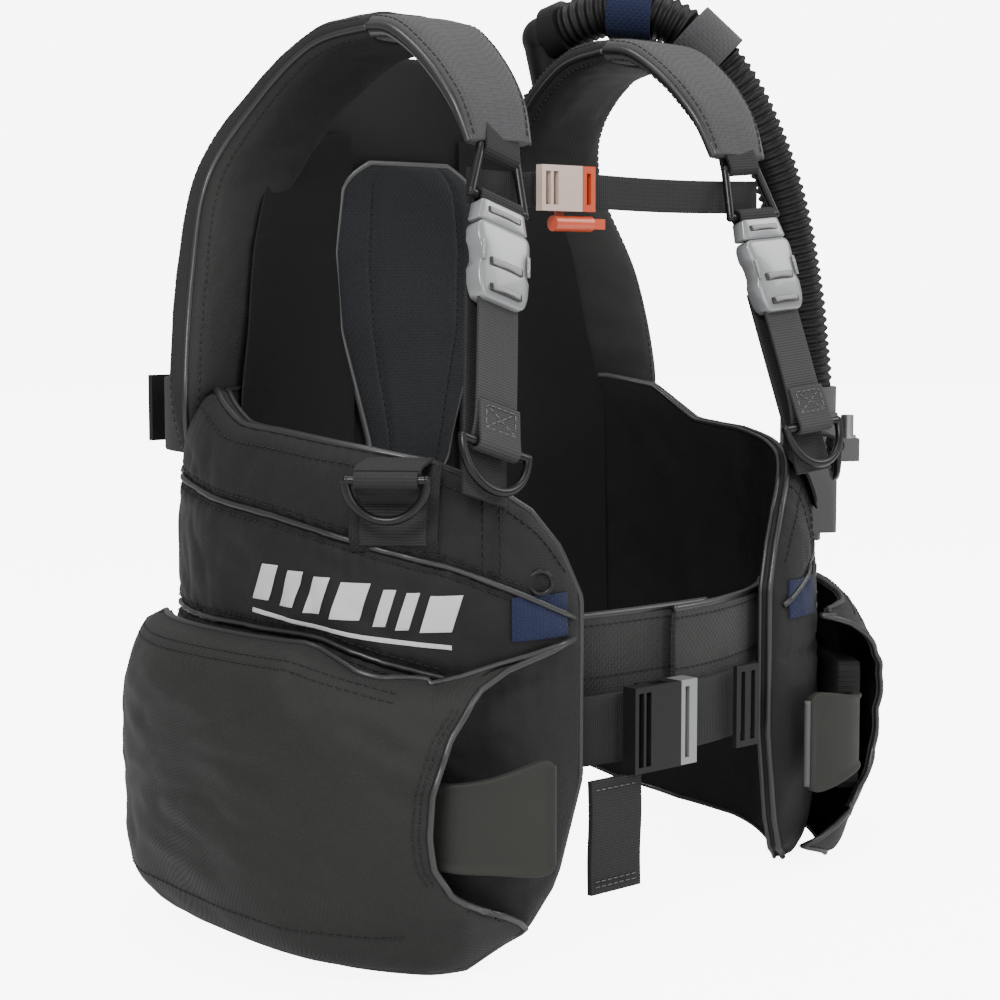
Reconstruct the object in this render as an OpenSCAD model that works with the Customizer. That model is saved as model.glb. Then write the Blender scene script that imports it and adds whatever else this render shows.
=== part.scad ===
// Jacket-style buoyancy vest for scuba diving.
// The origin is on the axis of the air cylinder, halfway up the tank band.
// +Z is up, the wearer stands on the -Y side and faces -Y, the wearer's left is +X.
// Everything soft is wrapped round one rounded form: an angle from the middle of the back,
// a distance outwards from the wearer, and a height.

/* [Body form] */
// Width of the space for the wearer at the waist
chest_w = 404; // [350:1:490]
// Depth of that space, back to front
chest_d = 258; // [225:1:310]
// Height of the shoulder tops above the tank band
shoulder_z = 238; // [200:1:286]
// How far the side lobes hang below the tank band
lobe_depth = 284; // [237:1:340]
// Distance between the two shoulder straps
strap_spacing = 200; // [180:1:240]

/* [Bladder and pockets] */
// Thickness of the air bladder at its middle
lobe_t = 30; // [24:1:36]
// Thickness of a cargo pocket
pocket_t = 42; // [40:1:52]
// How much narrower the wearer's left half hangs than the right one
left_slack = 17; // [0:1:30]
// Thickness of a weight pouch
pouch_t = 22; // [16:1:26]
// Height of a weight pouch
pouch_h = 84; // [70:1:101]
// Length of a weight pouch
pouch_l = 100; // [80:1:120]
// Clearance round a weight pouch in its sleeve
pouch_gap = 1; // [0.6:0.1:2]

/* [Air cylinder band] */
// Radius of the air cylinder
tank_r = 92.1; // [80:0.1:110.5]
// From the air cylinder to the wearer's back surface
back_gap = 25.9; // [24:0.1:40]
// Width of the tank band
band_w = 50; // [40:1:60]
// Thickness of the tank band
band_t = 3; // [2:0.5:4]
// Radius of the cam lever's axle
axle_r = 3; // [2:0.5:4]

/* [Straps and buckles] */
// Width of the shoulder webbing
web_w = 32; // [25:0.1:38.4]
// Thickness of all webbing
web_t = 2; // [1.5:0.1:2.5]
// Width of the waist belt
belt_w = 40; // [38:1:50]
// Width of the chest strap
sternum_w = 20; // [18:1:25]
// Thickness of the wall of a buckle socket
buckle_wall = 2.5; // [2:0.1:3]
// Depth that a buckle insert reaches into its socket
buckle_grip = 26; // [20:1:30]
// Radius of the wire of the metal rings
ring_wire = 2.5; // [2:0.1:3]

/* [Inflator] */
// Outer radius of the corrugated hose
hose_r = 15.5; // [13:0.1:18.6]
// Radius of the inflate button
button_r = 8; // [6:0.5:10]
// Radius of the low-pressure hose nipple
nipple_r = 4.45; // [4:0.05:5]

/* [Hidden] */

$fn = 48;

// Squareness of the rounded form; the front of the left half hangs slacker, so it is rounder
form_n = 2.6;
left_front_n = 1.8;
back_y = tank_r + back_gap;
body_y = -(back_y + chest_d / 2);
strap_x = strap_spacing / 2;
layer_gap = 0.6;
run_gap = 0.06;

function half_w(left) = chest_w / 2 - (left ? left_slack : 0);
function corner_n(left, th) = left && th > 90 ? left_front_n : form_n;

// A point of the rounded body form: angle from the middle of the back, distance outwards.
// Both halves are worked out on the +X side, and the right one is mirrored when it is drawn.
function wrap(left, th, t) = let (n = corner_n(left, th)) [
    sign(sin(th)) * (half_w(left) + t) * pow(abs(sin(th)), 2 / n),
    body_y + sign(cos(th)) * (chest_d / 2 + t) * pow(abs(cos(th)), 2 / n)];
function wrap3(left, th, t, z) = concat(wrap(left, th, t), z);
function tangent(left, th) = let (d = wrap(left, th + 0.5, 10) - wrap(left, th - 0.5, 10))
    [d[0], d[1], 0] / norm(d);
function facing(left, th) = let (d = tangent(left, th)) atan2(d[0], -d[1]);
// Angle at which the form reaches a given half width, on the back half
function back_angle(left, x) = asin(pow(x / half_w(left), form_n / 2));

// Edges of a lobe: angle round the body, height
panel_edge = 127;
lobe_ends = [150, 161];
left_drop = 14;
lobe_top_edge = [[30, 26], [70, 26], [84, 10], [114, 0], [130, -7], [143, -20], [151, -35],
                 [157, -57], [161, -85]];
lobe_low_edge = [[30, 0.82], [60, 0.92], [80, 0.955], [116, 0.985], [138, 1], [150, 0.95],
                 [156, 0.86], [161, 0.66]];

function lobe_start(left) = back_angle(left, panel_edge + 1);
function lobe_end(left) = lobe_ends[left ? 0 : 1];
function edge_th(left, th) = th * lobe_end(false) / lobe_end(left);
function lobe_top(left, th) = lookup(edge_th(left, th), lobe_top_edge)
    - (left ? left_drop * min(1, max(0, (th - 50) / 30)) : 0);
function lobe_low(left, th) = -lobe_depth * lookup(edge_th(left, th), lobe_low_edge);

function mix(a, b, k) = a + (b - a) * k;
// Soft edge: 0 at both ends of 0..1, about 1 across the middle
function crown(k) = sqrt(max(0, 1 - pow(abs(2 * k - 1), 4)));

// Smooth curve through a list of points or sections
function smooth(a, b, c, d, k) = 0.5 * ((2 * b) + (c - a) * k + (2 * a - 5 * b + 4 * c - d) * k * k
                                        + (3 * b - a - 3 * c + d) * k * k * k);
function curve(p, steps) = let (n = len(p)) concat(
    [for (i = [0 : n - 2], j = [0 : steps - 1])
        smooth(p[max(i - 1, 0)], p[i], p[i + 1], p[min(i + 2, n - 1)], j / steps)], [p[n - 1]]);

module side(left) {
    if (left) children();
    else mirror([1, 0, 0]) children();
}

// Closed slab between an outer and an inner surface, both functions of u and v from 0 to 1;
// going up in u, then up in v, turns anticlockwise as seen from outside
module slab(nu, nv, outer, inner) {
    row = nv + 1;
    m = (nu + 1) * row;
    points = concat([for (i = [0 : nu], j = [0 : nv]) outer(i / nu, j / nv)],
                    [for (i = [0 : nu], j = [0 : nv]) inner(i / nu, j / nv)]);
    skins = [for (i = [0 : nu - 1], j = [0 : nv - 1]) let (k = i * row + j) each [
        [k, k + 1, k + row + 1], [k, k + row + 1, k + row],
        [m + k, m + k + row + 1, m + k + 1], [m + k, m + k + row, m + k + row + 1]]];
    ends = [for (j = [0 : nv - 1]) let (a = j, b = nu * row + j) each [
        [a, m + a, m + a + 1], [a, m + a + 1, a + 1],
        [b, b + 1, m + b + 1], [b, m + b + 1, m + b]]];
    rims = [for (i = [0 : nu - 1]) let (a = i * row, b = i * row + nv) each [
        [a, a + row, m + a + row], [a, m + a + row, m + a],
        [b, m + b, m + b + row], [b, m + b + row, b + row]]];
    polyhedron(points, concat(skins, ends, rims), convexity = 8);
}

// Closed tube of flattened sections; a section is [centre, half width vector, half thickness]
module loft(sections, sides = 14, square = 0.6) {
    n = len(sections);
    function ring(i) = let (
        s = sections[i],
        d = sections[min(i + 1, n - 1)][0] - sections[max(i - 1, 0)][0],
        up = cross(s[1], d) / norm(cross(s[1], d)))
        [for (j = [0 : sides - 1]) let (a = 360 * j / sides)
            s[0] + s[1] * sign(cos(a)) * pow(abs(cos(a)), square)
                 + up * s[2] * sign(sin(a)) * pow(abs(sin(a)), square)];
    points = [for (i = [0 : n - 1]) each ring(i)];
    skin = [for (i = [0 : n - 2], j = [0 : sides - 1]) let (
        a = i * sides + j, b = i * sides + (j + 1) % sides) each [
        [a, b + sides, a + sides], [a, b, b + sides]]];
    polyhedron(points, concat(skin, [[for (j = [sides - 1 : -1 : 0]) j]],
               [[for (j = [0 : sides - 1]) (n - 1) * sides + j]]), convexity = 8);
}

// ---- Back -------------------------------------------------------------------------------

plate_front = back_y - 14;
plate_t = 6;
plate_half_w = 75;
plate_low = -80;
plate_top = 128;
slot_x = 60;
slot_w = 12;
rib_x = 35;
rib_w = 6;
handle_top = plate_top + 34;
handle_half = 45;

module backplate() color("dimgray") {
    difference() {
        translate([-plate_half_w, -plate_front, plate_low])
            cube([2 * plate_half_w, plate_t, plate_top - plate_low]);
        for (s = [-1, 1]) {
            // Slots for the tank band
            translate([s * slot_x - slot_w / 2, -plate_front - 1, -band_w / 2 - 1])
                cube([slot_w, plate_t + 2, band_w + 2]);
            // Lightening holes
            for (z = [-58, 60, 98])
                translate([s * 55, -plate_front - 1, z]) rotate([-90, 0, 0]) cylinder(r = 9, h = plate_t + 2);
        }
    }
    // Ribs that cradle the cylinder
    rib_reach = sqrt(pow(tank_r + 0.5, 2) - pow(rib_x, 2));
    for (s = [-1, 1])
        translate([s * (rib_x + rib_w / 2) - rib_w / 2, -plate_front + plate_t, plate_low + 10])
            cube([rib_w, plate_front - plate_t - rib_reach, plate_top - plate_low - 20]);
}

module carry_handle() color("black") {
    bar_r = 5.5;
    for (s = [-1, 1])
        translate([s * handle_half, -plate_front + plate_t / 2, plate_top])
            cylinder(r = bar_r, h = handle_top - plate_top);
    for (s = [-1, 1])
        translate([s * handle_half, -plate_front + plate_t / 2, handle_top]) sphere(r = bar_r);
    translate([-handle_half, -plate_front + plate_t / 2, handle_top])
        rotate([0, 90, 0]) cylinder(r = bar_r, h = 2 * handle_half);
}

pad_top = 168;
pad_low = -38;
pad_t = 13;
panel_t = 6;

// Half width of the back cushion and of the back panel at a height
function pad_half(z) = lookup(z, [[-38, 30], [-10, 36], [60, 58], [110, 62], [150, 56], [168, 44]]);
function panel_half(z) = lookup(z, [[20, panel_edge], [27, 117], [95, 103], [155, 94], [172, 88], [195, 84], [222, 72],
                                 [238, 56]]);
panel_rows = [-0.82 * lobe_depth, -60, 20, 27, 60, 95, 125, 155, 172, 195, 222, 238];
panel_n = len(panel_rows) - 1;

module back_pad() color("darkslategray")
    slab(8, 12,
        function(u, v) let (z = mix(pad_low, pad_top, v))
            [mix(-1, 1, u) * pad_half(z), -back_y - 4 - (pad_t - 4) * crown(u) * crown(v), z],
        function(u, v) let (z = mix(pad_low, pad_top, v))
            [mix(-1, 1, u) * pad_half(z), -back_y, z]);

module back_panel() color("black")
    slab(10, panel_n,
        function(u, v) let (z = panel_rows[round(v * panel_n)])
            [mix(-1, 1, u) * panel_half(z), -back_y + layer_gap, z],
        function(u, v) let (z = panel_rows[round(v * panel_n)])
            [mix(-1, 1, u) * panel_half(z), -back_y + layer_gap + panel_t, z]);

// ---- Bladder ------------------------------------------------------------------------------

wing_end = [strap_x - 4, -back_y - 122, shoulder_z];
wing_low = 27.5;
function wing_sections(left) = [
    [wrap3(false, 44, 15, wing_low) - (left ? 6 : 0) * tangent(false, 44),
        (left ? 45 : 51) * tangent(false, 44), 16],
    [wrap3(false, 38, 16, 0.4 * shoulder_z), 43 * tangent(false, 37), 18],
    [[strap_x + 31, -back_y - 4, 0.65 * shoulder_z], [36, -9, 0], 18],
    [[strap_x + 13, -back_y - 30, shoulder_z - 38], [32, -4, 0], 16],
    [[strap_x + 2, -back_y - 76, shoulder_z - 7], [33, 0, 0], 13],
    [wing_end, [33, 0, 0], 10]];

module wing(left) side(left) color("dimgray") loft(curve(wing_sections(left), 3));

edge_t = 6;
module lobe(left) side(left) color("black")
    slab(22, 8,
        function(u, v) let (th = mix(lobe_end(left), lobe_start(left), u))
            wrap3(left, th, edge_t + (lobe_t - edge_t) * crown(u) * crown(v),
                  mix(lobe_low(left, th), lobe_top(left, th), v)),
        function(u, v) let (th = mix(lobe_end(left), lobe_start(left), u))
            wrap3(left, th, 0, mix(lobe_low(left, th), lobe_top(left, th), v)));

// ---- Pockets and weight pouches -------------------------------------------------------------

pocket_back = 62;
pocket_front = 133;
pocket_top_edge = [[62, -104], [107, -104], [133, -124]];
pocket_wall = 2.5;
pouch_th = 116;
pouch_z = -lobe_depth * 0.69;
function pouch_base(left) =
    wrap(left, pouch_th, lobe_t + layer_gap + pocket_wall + pouch_gap + pouch_t / 2);
function pocket_low(left, th) = lobe_low(left, th) + 2;
function pocket_out(u, v) = lobe_t + layer_gap + 5 + (pocket_t - 5) * crown(v) * crown(mix(0.5, 0.96, u));

// Places children in a pouch's frame: +X outwards, -Y forwards along the sleeve
module at_pouch(left) translate(concat(pouch_base(left), pouch_z))
    rotate([0, 0, facing(left, pouch_th)]) children();

module pocket(left) side(left) color("dimgray")
    difference() {
        slab(16, 8,
            function(u, v) let (th = mix(pocket_front, pocket_back, u))
                wrap3(left, th, pocket_out(u, v), mix(pocket_low(left, th), lookup(th, pocket_top_edge), v)),
            function(u, v) let (th = mix(pocket_front, pocket_back, u))
                wrap3(left, th, lobe_t + layer_gap, mix(pocket_low(left, th), lookup(th, pocket_top_edge), v)));
        // Sleeve for the weight pouch, open to the front
        at_pouch(left) translate([-pouch_t / 2 - pouch_gap, -200, -pouch_h / 2 - pouch_gap])
            cube([pouch_t + 2 * pouch_gap, 200 + pouch_l / 2 + pouch_gap, pouch_h + 2 * pouch_gap]);
    }

module weight_pouch(left) side(left) color("gray")
    at_pouch(left) translate([-pouch_t / 2, -pouch_l / 2, -pouch_h / 2]) cube([pouch_t, pouch_l, pouch_h]);

// The pull handle starts at the pouch's front end and bends over the front of the lobe
handle_path = curve([[0, -pouch_l / 2 - 1, 46], [1, -pouch_l / 2 - 15, 48], [-8, -pouch_l / 2 - 31, 52],
                     [-23, -pouch_l / 2 - 45, 60], [-40, -pouch_l / 2 - 55, 66]], 3);
handle_t = 5;
handle_n = len(handle_path) - 1;
function handle_point(i, v, out) = let (
    p = handle_path[i],
    d = handle_path[min(i + 1, handle_n)] - handle_path[max(i - 1, 0)],
    nrm = [-d[1], d[0]] / norm([d[0], d[1]]))
    [p[0] + nrm[0] * out, p[1] + nrm[1] * out, (v - 0.5) * p[2]];
module pouch_handle(left) side(left) color("gray") at_pouch(left)
    slab(handle_n, 4,
        function(u, v) handle_point(round(u * handle_n), v, -handle_t / 2),
        function(u, v) handle_point(round(u * handle_n), v, handle_t / 2));

// ---- Shoulder straps ------------------------------------------------------------------------

strap_top = [strap_x, -back_y - 204, shoulder_z - 70];
function strap_th(left) = left ? 146 : 143;
function strap_foot(left) = wrap3(left, strap_th(left), lobe_t + 6, -24);
function strap_run(left) = strap_foot(left) - strap_top;
function strap_len(left) = norm(strap_run(left));
function strap_swing(left) = let (d = strap_run(left)) -asin(d[0] / norm([d[0], 0, d[2]]));
function strap_tilt(left) = asin(strap_run(left)[1] / strap_len(left));

pad_sections = [
    [wing_end + [0, -1.5, 0], [33, 0, 0], 8],
    [[strap_x - 3, -back_y - 146, shoulder_z - 4], [33, 0, 0], 7],
    [[strap_x - 2, -back_y - 172, shoulder_z - 22], [30, 0, 0], 6.5],
    [[strap_x - 1, -back_y - 193, shoulder_z - 46], [26, 0, 0], 6],
    [strap_top, [22, 0, 0], 4]];

// Places children on the straight part of a strap: -Z runs down to the lobe, -Y faces forwards
module on_strap(left) translate(strap_top) rotate([0, strap_swing(left), 0])
    rotate([strap_tilt(left), 0, 0]) children();

module shoulder_pad(left) side(left) color("darkgray") loft(curve(pad_sections, 3));

ring_w = 46;
ring_h = 31;
ring_top = -7;
corner_extra = 0.2;
module strap_ring(left) side(left) color("dimgray") on_strap(left) {
    corners = [[-ring_w / 2 + 9, 0, ring_top], [ring_w / 2 - 9, 0, ring_top],
               [ring_w / 2 - 2, 0, ring_top - ring_h], [-ring_w / 2 + 2, 0, ring_top - ring_h]];
    for (i = [0 : 3]) {
        p = corners[i];
        d = corners[(i + 1) % 4] - p;
        translate(p) sphere(r = ring_wire + corner_extra, $fn = 32);
        translate(p) rotate([0, atan2(d[0], d[2]), 0]) cylinder(r = ring_wire, h = norm(d), $fn = 32);
    }
}

buckle_w = web_w + 8;
buckle_t = 13;
insert_top = ring_top - ring_h - ring_wire - layer_gap;
insert_h = 13;
socket_top = insert_top - insert_h - 0.4;
socket_h = buckle_grip + 5;
ladder_h = 15;
buckle_fit = 0.3;

// Insert of a side-release buckle: webbing bar, guide tongue and two prongs, pointing down -Z
module insert(w, t, h, grip) {
    inner = w - 2 * buckle_wall - 2 * buckle_fit;
    prong_t = t - 2 * buckle_wall - 2 * buckle_fit;
    difference() {
        translate([-w / 2, -t / 2 + 1, -h]) cube([w, t - 2, h]);
        translate([-w / 2 + 4, -t / 2, -h + 4]) cube([w - 8, t, 3.5]);
    }
    tongue = inner * 0.2;
    translate([-tongue / 2, -prong_t / 2, -h - grip * 0.8]) cube([tongue, prong_t, grip * 0.8]);
    for (s = [-1, 1]) {
        translate([s * (inner / 2 - 6) - 2, -prong_t / 2, -h - grip]) cube([4, prong_t, grip]);
        translate([s * (inner / 2 - 2.5) - 2.5, -prong_t / 2, -h - grip]) cube([5, prong_t, 9]);
    }
}

// Socket of a side-release buckle: mouth at z = 0, side windows, and a webbing ladder below
module socket(w, t, h, ladder) {
    difference() {
        translate([-w / 2, -t / 2, -h - ladder]) cube([w, t, h + ladder]);
        translate([-w / 2 + buckle_wall, -t / 2 + buckle_wall, -h + 3])
            cube([w - 2 * buckle_wall, t - 2 * buckle_wall, h]);
        // Side windows for the prongs
        for (s = [-1, 1])
            translate([s * w / 2 - 5, -t / 4, -h + 4]) cube([10, t / 2, 12]);
        // Webbing slots
        for (z = [-h - ladder + 3, -h - ladder + 9])
            translate([-w / 2 + 3.5, -t, z]) cube([w - 7, 2 * t, 4]);
        // Thinned back of the ladder
        translate([-w, t / 2 - 4, -h - ladder - 1]) cube([2 * w, 8, ladder]);
    }
}

module buckle_insert(left) side(left) color("silver") on_strap(left)
    translate([0, 0, insert_top]) insert(buckle_w, buckle_t, insert_h, buckle_grip);

module buckle_socket(left) side(left) color("silver") on_strap(left)
    translate([0, 0, socket_top]) socket(buckle_w, buckle_t, socket_h, ladder_h);

socket_low = socket_top - socket_h - ladder_h;
dring_w = 54;
function tail_low(left) = -strap_len(left) + 28;

// Load webbing runs behind the socket down to the lobe
module load_webbing(left) side(left) color("dimgray") on_strap(left)
    translate([-web_w / 2, buckle_t / 2 + layer_gap, -strap_len(left)])
        cube([web_w, web_t, strap_len(left) + socket_low + ladder_h]);

// Tail webbing hangs from the socket in front and holds the pull ring in a sewn loop
module tail_webbing(left) side(left) color("gray") on_strap(left) {
    translate([-web_w / 2 + 1, -web_t, tail_low(left) + ring_wire + 1])
        cube([web_w - 2, web_t, socket_low - tail_low(left) - ring_wire - 1.4]);
    translate([-web_w / 2 + 1, -web_t / 2, tail_low(left)]) dring_loop(web_w - 2);
}

// Loop of webbing round the straight bar of a ring, axis along X
module dring_loop(w)
    rotate([0, 90, 0]) difference() {
        cylinder(r = ring_wire + run_gap + web_t, h = w);
        translate([0, 0, -1]) cylinder(r = ring_wire + run_gap, h = w + 2);
    }

// A D-shaped ring with its straight bar on the X axis, hanging down -Z; the corners are forged a
// little thicker than the wire
module dring(w) {
    half = w / 2 - ring_wire;
    translate([-half, 0, 0]) rotate([0, 90, 0]) cylinder(r = ring_wire, h = 2 * half, $fn = 32);
    for (s = [-1, 1])
        translate([s * half, 0, 0]) sphere(r = ring_wire + corner_extra, $fn = 32);
    rotate([90, 0, 0]) rotate([0, 0, 180])
        rotate_extrude(angle = 180) translate([half, 0]) circle(r = ring_wire, $fn = 32);
}

module chest_dring(left) side(left) color("dimgray") on_strap(left)
    translate([0, -web_t / 2, tail_low(left)]) dring(dring_w);

// ---- Rings on the lobes ---------------------------------------------------------------------

lobe_ring_th = 124;
lobe_ring_z = -14;
lobe_ring_out = lobe_t + 10;

module on_lobe(left, th, out, z)
    translate(wrap3(left, th, out, z)) rotate([0, 0, facing(left, th) + 90]) children();

module pocket_dring(left) side(left) color("dimgray")
    on_lobe(left, lobe_ring_th, lobe_ring_out, lobe_ring_z) dring(48);

tab_w = 36;
module dring_tabs() color("black")
    for (left = [true, false]) side(left) on_lobe(left, lobe_ring_th, lobe_ring_out, lobe_ring_z) {
        translate([-tab_w / 2, 0, 0]) dring_loop(tab_w);
        translate([-tab_w / 2, ring_wire + run_gap, -34]) cube([tab_w, web_t, 50]);
    }

// ---- Chest strap ----------------------------------------------------------------------------

// The webbing passes behind the strap rings
function sternum_k(left) = (ring_h * 0.5 - ring_top + 4) / strap_len(left);
function sternum_point(left) = mix(strap_top, strap_foot(left), sternum_k(left));
sternum_z = sternum_point(false)[2];
sternum_back = sternum_point(true)[1] + 1.1 * ring_wire + layer_gap + 3.4;
function sternum_end(left) = sternum_point(left)[0] + web_w / 2;
sternum_x = -44;
sternum_t = 9;
plug_h = 11;
plug_grip = 14;
sternum_y = sternum_back - layer_gap - sternum_t / 2;

module on_sternum() translate([sternum_x, sternum_y, sternum_z]) rotate([0, 90, 0]) children();

module sternum_socket() color("bisque") on_sternum() translate([0, 0, -0.4])
    socket(sternum_w + 6, sternum_t, plug_grip + 4, 14);
module sternum_plug() color("orangered") on_sternum()
    translate([0, 0, plug_h]) insert(sternum_w + 6, sternum_t, plug_h, plug_grip);
module sternum_web_left() color("black")
    translate([sternum_x + 2, sternum_back, sternum_z - sternum_w / 2])
        cube([sternum_end(true) - sternum_x - 2, web_t, sternum_w]);
module sternum_web_right() color("black")
    translate([-sternum_end(false), sternum_back, sternum_z - sternum_w / 2])
        cube([sternum_end(false) + sternum_x - plug_grip, web_t, sternum_w]);
module whistle() color("orangered")
    translate([sternum_x - 20, sternum_y, sternum_z - sternum_w / 2 - 10]) {
        rotate([0, 90, 0]) cylinder(r = 4.5, h = 30);
        translate([30, -3.5, -3]) cube([9, 7, 6]);
        // Clip over the strap
        translate([10, sternum_t / 2 + layer_gap + web_t + 0.4, 0]) cube([6, 1.6, 12]);
        translate([10, 3, -1.5]) cube([6, sternum_t / 2 + layer_gap + web_t - 1, 3]);
    }

// ---- Waist ----------------------------------------------------------------------------------

waist_z = -0.58 * lobe_depth;
belt_out = -5;
belt_y = body_y - chest_d / 2 - belt_out - web_t;
belt_th = 148;
waist_x = -16;
waist_t = 14;
cummerbund_top = -0.35 * lobe_depth;
cummerbund_h = 76;

// A flat band wrapped along the inside of the lobes, from one angle to another
module band(left, from, to, deep, t, z, h) side(left)
    slab(10, 2,
        function(u, v) wrap3(left, mix(to, from, u), deep + t, z + h * v),
        function(u, v) wrap3(left, mix(to, from, u), deep, z + h * v));

module cummerbund(left) color("gray")
    band(left, 125, left ? 180 : 188, left ? -13 : -23, 4, cummerbund_top - cummerbund_h, cummerbund_h);

module on_waist() translate([waist_x, belt_y - waist_t / 2 - layer_gap, waist_z]) rotate([0, 90, 0]) children();

module waist_socket() color("black") on_waist() translate([0, 0, -0.4])
    socket(belt_w + 10, waist_t, 24, 14);
module waist_plug() color("silver") on_waist()
    translate([0, 0, 14]) insert(belt_w + 10, waist_t, 14, 20);
module belt_left() color("black")
    band(true, belt_th, 178, belt_out, web_t, waist_z - belt_w / 2, belt_w);
module belt_right() color("black")
    band(false, belt_th, 171, belt_out, web_t, waist_z - belt_w / 2, belt_w);
tail_l = 66;
module belt_tail() color("dimgray")
    translate([waist_x - 66, belt_y - waist_t / 2 - layer_gap, waist_z - belt_w / 2 - 6 - tail_l])
        cube([belt_w, 2 * web_t, tail_l]);
module tri_glide() color("dimgray")
    translate([54, belt_y - 3.4, waist_z]) difference() {
        translate([-10, 0, -belt_w / 2 - 5]) cube([20, 3, belt_w + 10]);
        for (x = [-6.5, 2.5])
            translate([x, -1, -belt_w / 2 - 1]) cube([4, 5, belt_w + 2]);
    }

// ---- Tank band --------------------------------------------------------------------------------

band_mid = tank_r + band_t / 2;
bend_x = slot_x;
bend_y = plate_front + 0.5 + band_t / 2;
bend_d = norm([bend_x, bend_y]);
leg_len = sqrt(pow(bend_d, 2) - pow(band_mid, 2));
leg_angle = atan2(bend_x, bend_y) + acos(band_mid / bend_d);
// The straight legs lie a little outside the round part, whose inner face stays clear
leg_out = -0.1;

module tank_band() color("dimgray")
    translate([0, 0, -band_w / 2]) linear_extrude(band_w) {
        difference() {
            circle(r = tank_r + band_t, $fn = 96);
            circle(r = tank_r, $fn = 96);
            polygon([[0, 0], 300 * [sin(leg_angle), -cos(leg_angle)], [0, -300 / cos(75)],
                     300 * [-sin(leg_angle), -cos(leg_angle)]]);
        }
        for (s = [0, 1]) mirror([s, 0]) {
            translate([bend_x, -bend_y]) rotate(leg_angle)
                translate([0, -band_t / 2 + leg_out]) square([leg_len + 3, band_t]);
            translate([bend_x, -bend_y]) circle(r = band_t / 2 + 0.4);
        }
        translate([-bend_x, -bend_y - band_t / 2]) square([2 * bend_x, band_t]);
    }

cam_x = 14;
cam_y = tank_r + band_t + 13;
cam_in = tank_r - 12.1;
cheek_t = 4;
lever_half = band_w / 2;
module cam_frame() color("black")
    difference() {
        union() {
            translate([-24, cam_in, -lever_half - layer_gap - cheek_t])
                cube([54, cam_y - cam_in + 6, cheek_t]);
            translate([-24, cam_in, lever_half + layer_gap])
                cube([54, cam_y - cam_in + 6, cheek_t]);
            translate([-24, cam_in, -lever_half - layer_gap - 0.1])
                cube([10, cam_y - cam_in - 8, 2 * (lever_half + layer_gap) + 0.2]);
        }
        cylinder(r = tank_r + band_t + 0.4, h = 3 * band_w, center = true, $fn = 96);
        translate([cam_x, cam_y, -band_w]) cylinder(r = axle_r + run_gap, h = 2 * band_w);
    }
module cam_lever() color("black") {
    translate([cam_x, cam_y, -lever_half - cheek_t]) cylinder(r = axle_r, h = 2 * (lever_half + cheek_t));
    translate([cam_x, cam_y, -lever_half]) cylinder(r = 8, h = 2 * lever_half);
    translate([cam_x - 66, cam_y + 2, -lever_half + 1]) cube([66, 5, 2 * lever_half - 2]);
}

// ---- Hose and inflator -------------------------------------------------------------------------

// The hose's line, measured from the wearer's back; it swings outwards over a wider chest or lobe,
// and a thicker hose stands further out from the shoulder
hose_line = [[104, -48, 262], [108, -63, 267], [114, -78, 270], [122, -92, 270], [131, -105, 266],
             [141, -117, 258], [151, -128, 246], [162, -137, 231], [173, -144, 212], [183, -149, 191],
             [193, -152, 169], [202, -154, 146], [210, -155, 122], [217, -155, 97], [223, -155, 72],
             [228, -154, 48], [231, -154, 32], [232, -154, 20]];
hose_swing = half_w(true) + lobe_t - 215;
hose_more = max(0, hose_r - 15.5);
hose_path = [for (i = [0 : len(hose_line) - 1])
    hose_line[i] + [max(0, hose_swing) * i / (len(hose_line) - 1) + 1.8 * hose_more, -back_y, 0]];
hose_start = [0.2, -0.94, 0.28];
hose_end = hose_path[len(hose_path) - 1];
grip_turn = -30;

module inflator_hose() color("black") {
    tube(hose_path, hose_r, 12);
}

// Round tube along a list of points
module tube(path, r, sides) {
    n = len(path) - 1;
    function heading(i) = let (d = path[min(i + 1, n)] - path[max(i - 1, 0)]) d / norm(d);
    points = [for (i = [0 : n]) let (
        d = i == 0 ? hose_start / norm(hose_start) : i == n ? [0, 0, -1] : heading(i),
        x = [1, 0, 0] - d * d[0],
        a = x / norm(x),
        b = cross(d, a))
        each [for (j = [0 : sides - 1]) path[i] + r * (a * cos(360 * j / sides) + b * sin(360 * j / sides))]];
    skin = [for (i = [0 : n - 1], j = [0 : sides - 1]) let (
        a = i * sides + j, b = i * sides + (j + 1) % sides) each [
        [a, b + sides, b], [a, a + sides, b + sides]]];
    polyhedron(points, concat(skin, [[for (j = [0 : sides - 1]) j]],
               [[for (j = [sides - 1 : -1 : 0]) n * sides + j]]), convexity = 8);
}

// Places children at a point with +Z along a direction
module aim(p, d) translate(p) rotate([0, acos(d[2] / norm(d)), atan2(d[1], d[0])]) children();

elbow_low = [strap_x + 9, -back_y - 29, shoulder_z - 20];
elbow_turn = hose_path[0] - 22 * hose_start;
module hose_elbow() color("black") {
    // Flange welded into the bladder, riser, and the socket that the hose is clamped in
    aim(elbow_low, elbow_turn - elbow_low) {
        cylinder(r = 21, h = 5);
        cylinder(r = 14, h = norm(elbow_turn - elbow_low));
    }
    translate(elbow_turn) sphere(r = 14.6);
    aim(elbow_turn, hose_start) {
        cylinder(r = 14, h = 22);
        translate([0, 0, 8]) cylinder(r = hose_r + 3, h = 14);
    }
}

keeper_i = 3;
wrap_i = 6;
module hose_ring(i, gap, wall, h) aim(hose_path[i], hose_path[i + 1] - hose_path[i - 1])
    difference() {
        cylinder(r = hose_r + gap + wall, h = h, center = true);
        cylinder(r = hose_r + gap, h = 2 * h, center = true);
    }
module hose_keeper() color("midnightblue") hose_ring(keeper_i, 2.4 + hose_more / 2, 2, 30);
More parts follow.
